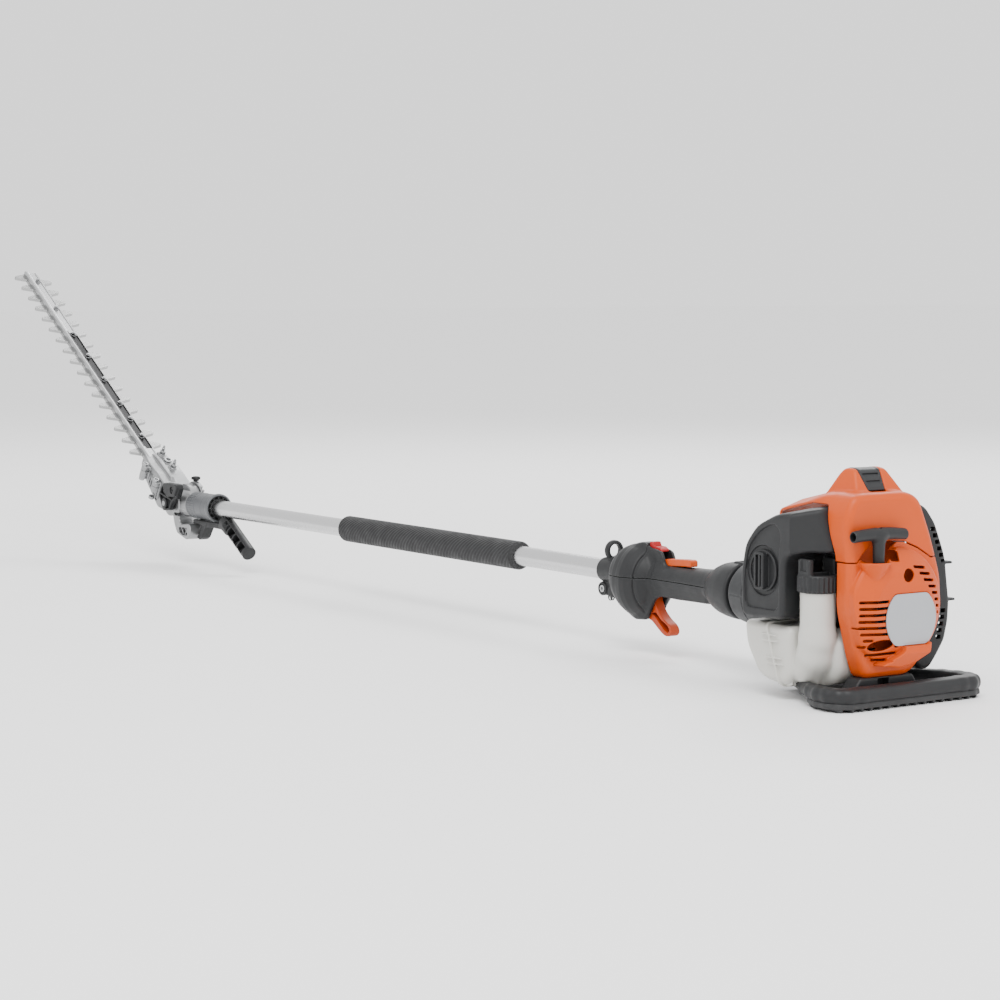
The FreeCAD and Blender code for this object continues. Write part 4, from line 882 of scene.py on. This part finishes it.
def make_stand():
    g = Grid((-10, -107, -83.5), (154, 107, -56), 1.0)
    half = [(140, 44), (104, 62), (72, 80), (48, 91), (30, 96), (16, 96), (7, 92), (2.5, 84), (2.0, 70)]
    radii = [5.0, 6.0, 7.2, 8.4, 9.2, 9.6, 9.8, 10.0, 10.2]
    d = foot_bar(g, half, -74.6, radii)
    d = both(d, both(g.z + 66.0, -(g.z + 82.0)), 2.5)
    plate = prism(g, "xy", [(6, -60), (60, -56), (150, -46), (150, 46), (60, 56),
                            (6, 60)], 8, -82, -76.5, 1.0)
    d = either(d, plate, 3.0)
    post = prism(g, "yz", [(-34, -84), (-20, -61.0), (50, -61.0), (66, -84)], 2, 16, 37, 2.0)
    post = less(post, both(both(slab(g.y, 12, 27), slab(g.z, -71.0, -62.6), 0.6), g.x - 26), 0.8)
    d = either(d, post, 4.0)
    d = both(d, g.z + 60.6)
    solid("foot_stand", g, d, DARK, ["stand"])


def make_tread():
    g = Grid((-10, -106, -91), (64, 106, -79), 0.8)
    half = [(52, 87), (30, 96), (16, 96), (7, 92), (3.5, 84), (3.0, 70)]
    pad = foot_bar(g, half, -85, [6.5, 7.8, 8.4, 8.8, 9.0, 9.0])
    pad = both(pad, slab(g.z, -90, -80.5), 0.8)
    pitch = 204.0 / 17
    gaps = 1.4 - np.abs((g.y / pitch) % 1.0 - 0.5) * pitch
    d = less(pad, both(gaps, g.z + 86.8), 0.3)
    solid("foot_tread", g, d, RUBBER, ["stand_tread"])


# ---- head

def make_collar():
    g = Grid((1487, -23, -23), (1565, 23, 23), 0.6)
    r = np.hypot(g.y, g.z)
    profile = [(1489, 0), (1489, 21.2), (1493, 21.4), (1498, 20.2), (1512, 19.6), (1534, 19.2),
               (1536, 19.8), (1561, 19.8)]
    profile += [(1562, 19.0), (1562, 0)]
    d = outline(g.x, r, soften(profile, 1.0, 2))
    d = less(d, both(g.x - 1497, r - 18.5), 0.5)
    angle = np.arctan2(g.z, g.y)
    teeth = np.abs(((angle * 34 / math.pi) % 2) - 1) * 1.6
    d = less(d, both(slab(g.x, 1539, 1558), both(slab((g.x - 1539) % 10.0, 0, 8.0), 19.0 - r + teeth)), 0.2)
    d = less(d, both(np.abs(g.x - 1513) - 0.4, 19.2 - r), 0.2)
    d = less(d, r - TUBE_R - 0.05)
    solid("joint_sleeve", g, d, COLLAR, ["joint_collar"])


def make_collar_ring():
    g = Grid((1489, -20, -20), (1498, 20, 20), 0.5)
    r = np.hypot(g.y, g.z)
    d = both(slab(r, TUBE_R + 0.05, 18.4), slab(g.x, 1491, 1497), 0.4)
    across = r * np.sin(((np.arctan2(g.z, g.y) * 6 / math.pi) % 1 - 0.5) * math.pi / 6)
    pocket = both(both(slab(across, -2.9, 2.9), slab(r, 13.6, 17.2), 0.6), g.x - 1495.5)
    solid("rear_flange", g, less(d, pocket, 0.3), DARK, ["collar_ring"])


def make_joint():
    g = Grid((1546, -20.5, -54), (1636, 32, 21), 0.7)
    r = np.hypot(g.x - TILT_X, g.z)
    core = np.hypot(g.y, g.z)
    drum = both(r - 19.5, slab(g.y, -5.2, 19.5), 1.2)
    neck = both(both(core - 19.0, slab(g.x, 1562.5, 1614)), slab(g.y, -5.2, 18.5), 1.0)
    full = both(core - 19.2, slab(g.x, 1562.5, 1578), 1.0)
    arm = [(1554, -27), (1548.5, -38), (1553, -48), (1564, -52), (1594, -44), (1602, -32), (1607, -17),
           (1587, -17)]
    arm += [(1586, -25), (1580, -30)]
    lower = prism(g, "xz", arm, 4, -5.2, 18.0, 1.6)
    d = either(either(drum, either(neck, full, 0.5), 1.5), lower, 2.0)
    window = [(1562, -34), (1588, -35), (1588, -41), (1574, -46), (1560, -45)]
    room = both(outline(g.x, g.z, soften(window, 2)), 9.0 - g.y)
    d = less(d, room, 1.0)
    for u, v in (((1564, -33), (1576, -47)), ((1576, -34), (1562, -45)), ((1588, -34), (1578, -46))):
        web = rod(g, (u[0], 13.0, u[1]), (v[0], 13.0, v[1]), 1.5)
        d = either(d, both(web, slab(g.y, 9.5, 17.5)), 0.6)
    pad = both(both(slab(g.x, 1583, 1603), slab(g.z, -13, 7), 2.0), slab(g.y, 12, 19.6), 0.8)
    d = either(d, pad, 1.0)
    for degrees in (-50, -20, 60, 95):
        turn = math.radians(degrees)
        spot = (19 * math.cos(turn), 19 * math.sin(turn))
        lug = rod(g, (1564, *spot), (1576, *spot), 1.6)
        d = either(d, both(lug, core - 19.7), 0.8)
    stud = both(r - 4.0, slab(g.y, 19, 30.5), 0.5)
    d = either(d, stud)
    d = less(d, both(np.abs(g.x - 1580.5) - 0.7, both(18.2 - core, g.z + 18)), 0.3)
    d = less(d, both(slab(g.x, 1540, 1578), core - TUBE_R))
    solid("joint_casting", g, d, CAST, ["joint_housing"])


LEVER_BOLT = (1581, 22)       # bolt of the winged lever, x and z


def make_lock_lever():
    g = Grid((1558, 19, -14), (1636, 34, 34), 0.6)
    side = [(1611, 31.5), (1567, 31.5), (1563, 25), (1571, 12), (1588, 4), (1598, -9.5), (1618, -11.5),
            (1632.5, 12), (1622, 26)]
    shape = outline(g.x, g.z, soften(side, 3))
    d = both(shape, slab(g.y, 20.4, 29), 1.4)
    d = less(d, both(shape + 3.0, 25.0 - g.y), 0.8)
    fold = rod(g, (1626, 27.5, 14), (1592, 27.5, 7), 1.4)
    d = either(d, both(fold, both(shape, slab(g.y, 22, 29))), 0.5)
    top = [(1609, 31.5), (1567, 31.5), (1564, 26), (1572, 13), (1596, 11), (1608, 18)]
    d = either(d, prism(g, "xz", top, 3, 20.4, 33, 1.4), 0.8)
    hub = disc(g, "xz", TILT_X, 0, 8.0, 20.4, 29.4, 1.0)
    d = either(d, hub, 1.0)
    d = less(d, circle(g.x, g.z, TILT_X, 0, 4.05))
    d = less(d, both(circle(g.x, g.z, *LEVER_BOLT, 5.2), 29.5 - g.y), 0.6)
    bolt = disc(g, "xz", *LEVER_BOLT, 3.9, 28, 31.8, 0.3)
    u, v = g.x - LEVER_BOLT[0], g.z - LEVER_BOLT[1]
    six = np.maximum(np.abs(u), np.maximum(np.abs(u * 0.5 + v * 0.866), np.abs(u * 0.5 - v * 0.866))) - 2.0
    d = either(d, less(bolt, both(six, 30.0 - g.y), 0.2))
    solid("release_wing", g, d, DARK, ["tilt_lock_lever"], "lock_lever")


def make_lever_handle():
    g = Grid((1384, -13, -76), (1566, 13, -8), 0.7)
    tilt = math.radians(31)
    u = (1462 - g.x) * math.cos(tilt) - (g.z + 21) * math.sin(tilt)
    w = (g.z + 21) * math.cos(tilt) - (g.x - 1462) * math.sin(tilt)
    grip = both(np.hypot(g.y, w) - 10.5, slab(u, -10, 77), 2.0)
    out = 0.66 * g.y + 0.75 * w
    across = 0.75 * g.y - 0.66 * w
    for i in range(4):
        pocket = both(slab(u, 2.5 + 17.4 * i, 17.6 + 17.4 * i), both(slab(across, -1.0, 8.8),
                                                                     -4.0 - out), 1.5)
        grip = less(grip, pocket, 0.6)
        grip = less(grip, both(np.hypot(u - 18.7 - 17.4 * i, across - 12.8) - 3.6, slab(g.y, -60, 60)), 1.2)
    arm = [(1452, -22), (1470, -20.9), (1560, -20.9), (1560, -28), (1468, -30), (1454, -36)]
    arm = prism(g, "xz", arm, 2, -8, 8, 2.0)
    strut = [(1514, -24), (1532, -24), (1549, -48), (1541, -51), (1532, -47)]
    strut = prism(g, "xz", strut, 2, -7.5, 7.5, 1.5)
    d = either(either(grip, arm, 5.0), strut, 3.0)
    core = np.hypot(g.y, g.z)
    d = less(d, both(core - 21.6, 1487 - g.x))
    d = less(d, core - TUBE_R - 0.6)
    solid("fixed_lever", g, d, DARK, ["lever_handle"])


def case_field(g):
    """Gearcase of the head, in the blade's own frame."""
    plan = [(122, 12.6), (110, 16), (97, 19), (30, 19), (0, -5), (0, -27), (92, -27), (110, -20), (122, -15)]
    side = [(0, -30), (34, -30), (78, -20.5), (122, -12), (122, 8.6), (100, 10.6), (60, 12.8), (0, 12.8)]
    shape = outline(g.x, g.z, soften(side, 3))
    d = both(outline(g.x, g.y, soften(plan, 4)), shape, 2.2)
    r = np.hypot(g.x, g.z)
    d = less(d, both(r - 33.0, -5.2 - g.y), 1.0)
    ridge = outline(g.x, g.z, [(36, 10), (116, 8), (112, 11.5), (98, 14.6), (44, 16.2), (36, 13)])
    d = either(d, both(ridge, slab(g.y, -3.4, 3.4), 1.2), 1.5)
    d = either(d, both(r - 28.0, slab(g.y, -21, -5.5), 1.5), 2.0)
    for x, y, low, radius in ((88, 22.5, -14, 7.0), (46, 22.5, -20, 7.0)):
        d = either(d, disc(g, "xy", x, y, radius, low, 8, 1.0), 2.5)
    for x, y, radius in ((112, -13.5, 6.6), (72, -14.5, 6.6), (92, -14, 7.4)):
        boss = both(circle(g.x, g.y, x, y, radius), slab(g.z, -10, 10.2 + (122 - x) * 0.045), 0.8)
        d = either(d, boss, 2.0)
    for low, high in ((54, 66), (70, 82)):
        dent = both(slab(g.x, low, high), slab(g.z, -1.5, 4.5), 1.0)
        d = less(d, both(dent, 17.6 - g.y), 0.8)
    web = both(outline(g.x, g.z, [(40, -26), (76, -17), (76, -6), (40, -10)]), 15.5 - g.y)
    d = less(d, web, 1.0)
    for i in range(3):
        rib = both(both(slab(g.x, 50 + 10 * i, 52.2 + 10 * i), slab(g.z, -27, -4)), slab(g.y, 12, 19), 0.5)
        d = either(d, both(rib, shape + 1), 0.8)
    return d


def make_case():
    for name, node, low, high in (("case_top", "gearcase_upper", 0.25, 30.0),
                                  ("case_bottom", "gearcase_lower", -31.5, -0.25)):
        g = Grid((-30, -29, low - 1.5), (124, 31, high + 1.5), 0.7)
        d = both(case_field(g), slab(g.z, low, high), 0.6)
        d = less(d, both(slab(g.x, 96, 200), both(slab(g.y, -8.7, 11.7), slab(g.z, 2.3, 9.3)), 0.3))
        d = less(d, both(slab(g.x, 58, 200), both(slab(g.y, -13.6, 13.6), slab(g.z, -2.8, 2.8)), 0.3))
        solid(name, g, d, CAST, [node], "head", HEAD_PLACE)


def make_case_bolts():
    g = Grid((38, -24, -26), (122, 33, 32), 0.5)
    d = None
    for x, y, base, height in ((112, -13.5, 10.3, 12.0), (72, -14.5, 12.6, 12.0)):
        r = np.hypot(g.x - x, g.y - y)
        angle = np.arctan2(g.y - y, g.x - x)
        six = r * np.cos(((angle + math.pi / 6) % (math.pi / 3)) - math.pi / 6) - 4.4
        stack = both(r - 5.6, slab(g.z, base, base + 1.5), 0.4)
        stack = either(stack, both(six, slab(g.z, base + 1.5, base + 6.5), 0.4))
        thread = r - 2.6 + 0.25 * np.abs(((g.z / 1.25) % 1.0) - 0.5)
        stack = either(stack, both(thread, slab(g.z, base + 1, base + height), 0.3))
        stack = either(stack, both(r - 1.6, slab(g.z, base + height - 1, base + height + 4), 0.5))
        d = stack if d is None else either(d, stack)
    boss = disc(g, "xy", 92, -14, 6.4, 11.0, 14.6, 0.5)
    d = either(d, less(boss, both(circle(g.x, g.y, 92, -14, 3.5), 10 - g.z), 0.4))
    for x, low in ((88, -14), (46, -20)):
        d = either(d, disc(g, "xy", x, 25, 4.5, low - 4, low + 0.5, 0.6))
        cap = disc(g, "xy", x, 25, 4.4, 7.5, 12, 0.5)
        d = either(d, less(cap, both(circle(g.x, g.y, x, 25, 2.3), 9.8 - g.z), 0.3))
    solid("case_studs", g, d, STEEL, ["gearcase_bolts"], "head", HEAD_PLACE)


def make_index_plate():
    g = Grid((-33, -29, -33), (33, -19.5, 33), 0.5)
    r = np.hypot(g.x, g.z)
    d = both(r - 31.0, slab(g.y, -27.5, -21.1), 0.8)
    for i in range(10):
        a = math.radians(180 - TILT_DEG - 45 + 15 * i)
        across = g.x * math.sin(a) - g.z * math.cos(a)
        ahead = g.x * math.cos(a) + g.z * math.sin(a)
        notch = both(both(slab(across, -2.2, 2.2), 26.4 - ahead), g.y + 22.5)
        d = less(d, notch, 0.4)
    d = less(d, both(slab(r, 16, 24), g.y + 26.2), 0.5)
    d = either(d, both(r - 8.0, slab(g.y, -28.6, -24), 0.8), 0.6)
    solid("notch_plate", g, d, CAST, ["index_plate"], "head", HEAD_PLACE)


def make_tilt_knob():
    g = Grid((1603, -37, 26), (1625, -14, 44), 0.4)
    x, y = g.x - TILT_X, g.y + 25.6
    r = np.hypot(x, y)
    angle = np.arctan2(y, x)
    star = r - 6.4 - 0.9 * np.cos(angle * 5)
    d = both(star, slab(g.z, 33.6, 38.0), 1.2)
    d = either(d, both(r - 4.4, slab(g.z, 31.2, 38.6), 0.8), 0.8)
    d = either(d, both(r - 1.5, slab(g.z, 27.5, 32)))
    solid("star_knob", g, d, DARK, ["tilt_knob"], "clamp_knob")


# ---- light, floor and camera

def lamp(name, place, aim, size, power):
    data = bpy.data.lights.new(name, "AREA")
    data.shape = "RECTANGLE"
    data.size, data.size_y = size
    data.energy = power
    obj = bpy.data.objects.new(name, data)
    obj.location = place
    obj.rotation_euler = (Vector(aim) - Vector(place)).to_track_quat("-Z", "Y").to_euler()
    bpy.context.scene.collection.objects.link(obj)


def make_stage():
    mesh = bpy.data.meshes.new("floor")
    half = 30.0
    corners = [(-half, -half, 0), (half, -half, 0), (half, half, 0), (-half, half, 0)]
    mesh.from_pydata(corners, [], [(0, 1, 2, 3)])
    floor = bpy.data.objects.new("floor", mesh)
    bpy.context.scene.collection.objects.link(floor)
    material = bpy.data.materials.new("floor paper")
    nodes, wires, shader = links(material)
    coords = nodes.new("ShaderNodeTexCoord").outputs["Object"]
    tint = mixed(nodes, wires, noise(nodes, wires, coords, 6.0), (0.965,) * 3, (0.985,) * 3)
    wires.new(tint, shader.inputs["Base Color"])
    fill(shader, {"Roughness": 0.9})
    mesh.materials.append(material)


def make_light():
    world = bpy.data.worlds.new("studio")
    bpy.context.scene.world = world
    world.use_nodes = True
    fill(world.node_tree.nodes["Background"], {"Color": (1.0, 1.0, 1.0, 1), "Strength": 1.50})
    lamp("key", (-1.2, 1.6, 3.2), (0.6, 0, 0.1), (2.2, 1.4), 115.0)
    lamp("fill", (-2.6, -1.4, 1.6), (0.2, 0, 0.15), (2.0, 1.6), 14.0)
    lamp("rim", (2.6, -2.2, 2.4), (1.0, 0, 0.1), (2.5, 1.0), 70.0)


def make_camera():
    data = bpy.data.cameras.new("camera")
    data.lens = 93.6
    data.sensor_width = 36.0
    data.clip_end = 100.0
    obj = bpy.data.objects.new("camera", data)
    yaw, pitch = math.radians(33.696), math.radians(4.858)
    ahead = Vector((math.cos(yaw) * math.cos(pitch), -math.sin(yaw) * math.cos(pitch), -math.sin(pitch)))
    obj.location = (-1.9271, 1.7793, 0.4278)
    obj.rotation_euler = ahead.to_track_quat("-Z", "Y").to_euler()
    bpy.context.scene.collection.objects.link(obj)
    bpy.context.scene.camera = obj


make_top_cover()
make_top_insert()
make_starter_cover()
make_badge()
make_starter_handle()
make_rope()
make_air_cover()
make_cover_knob()
make_fuel_cap()
make_tank()
make_guard()
make_clutch_housing()
make_adapter()
make_handle()
make_trigger()
make_lockout()
make_stop_rocker()
make_clamp()
make_stand()
make_tread()
make_collar()
make_collar_ring()
make_joint()
make_lock_lever()
make_lever_handle()
make_case()
make_case_bolts()
make_index_plate()
make_tilt_knob()
make_stage()
make_light()
make_camera()
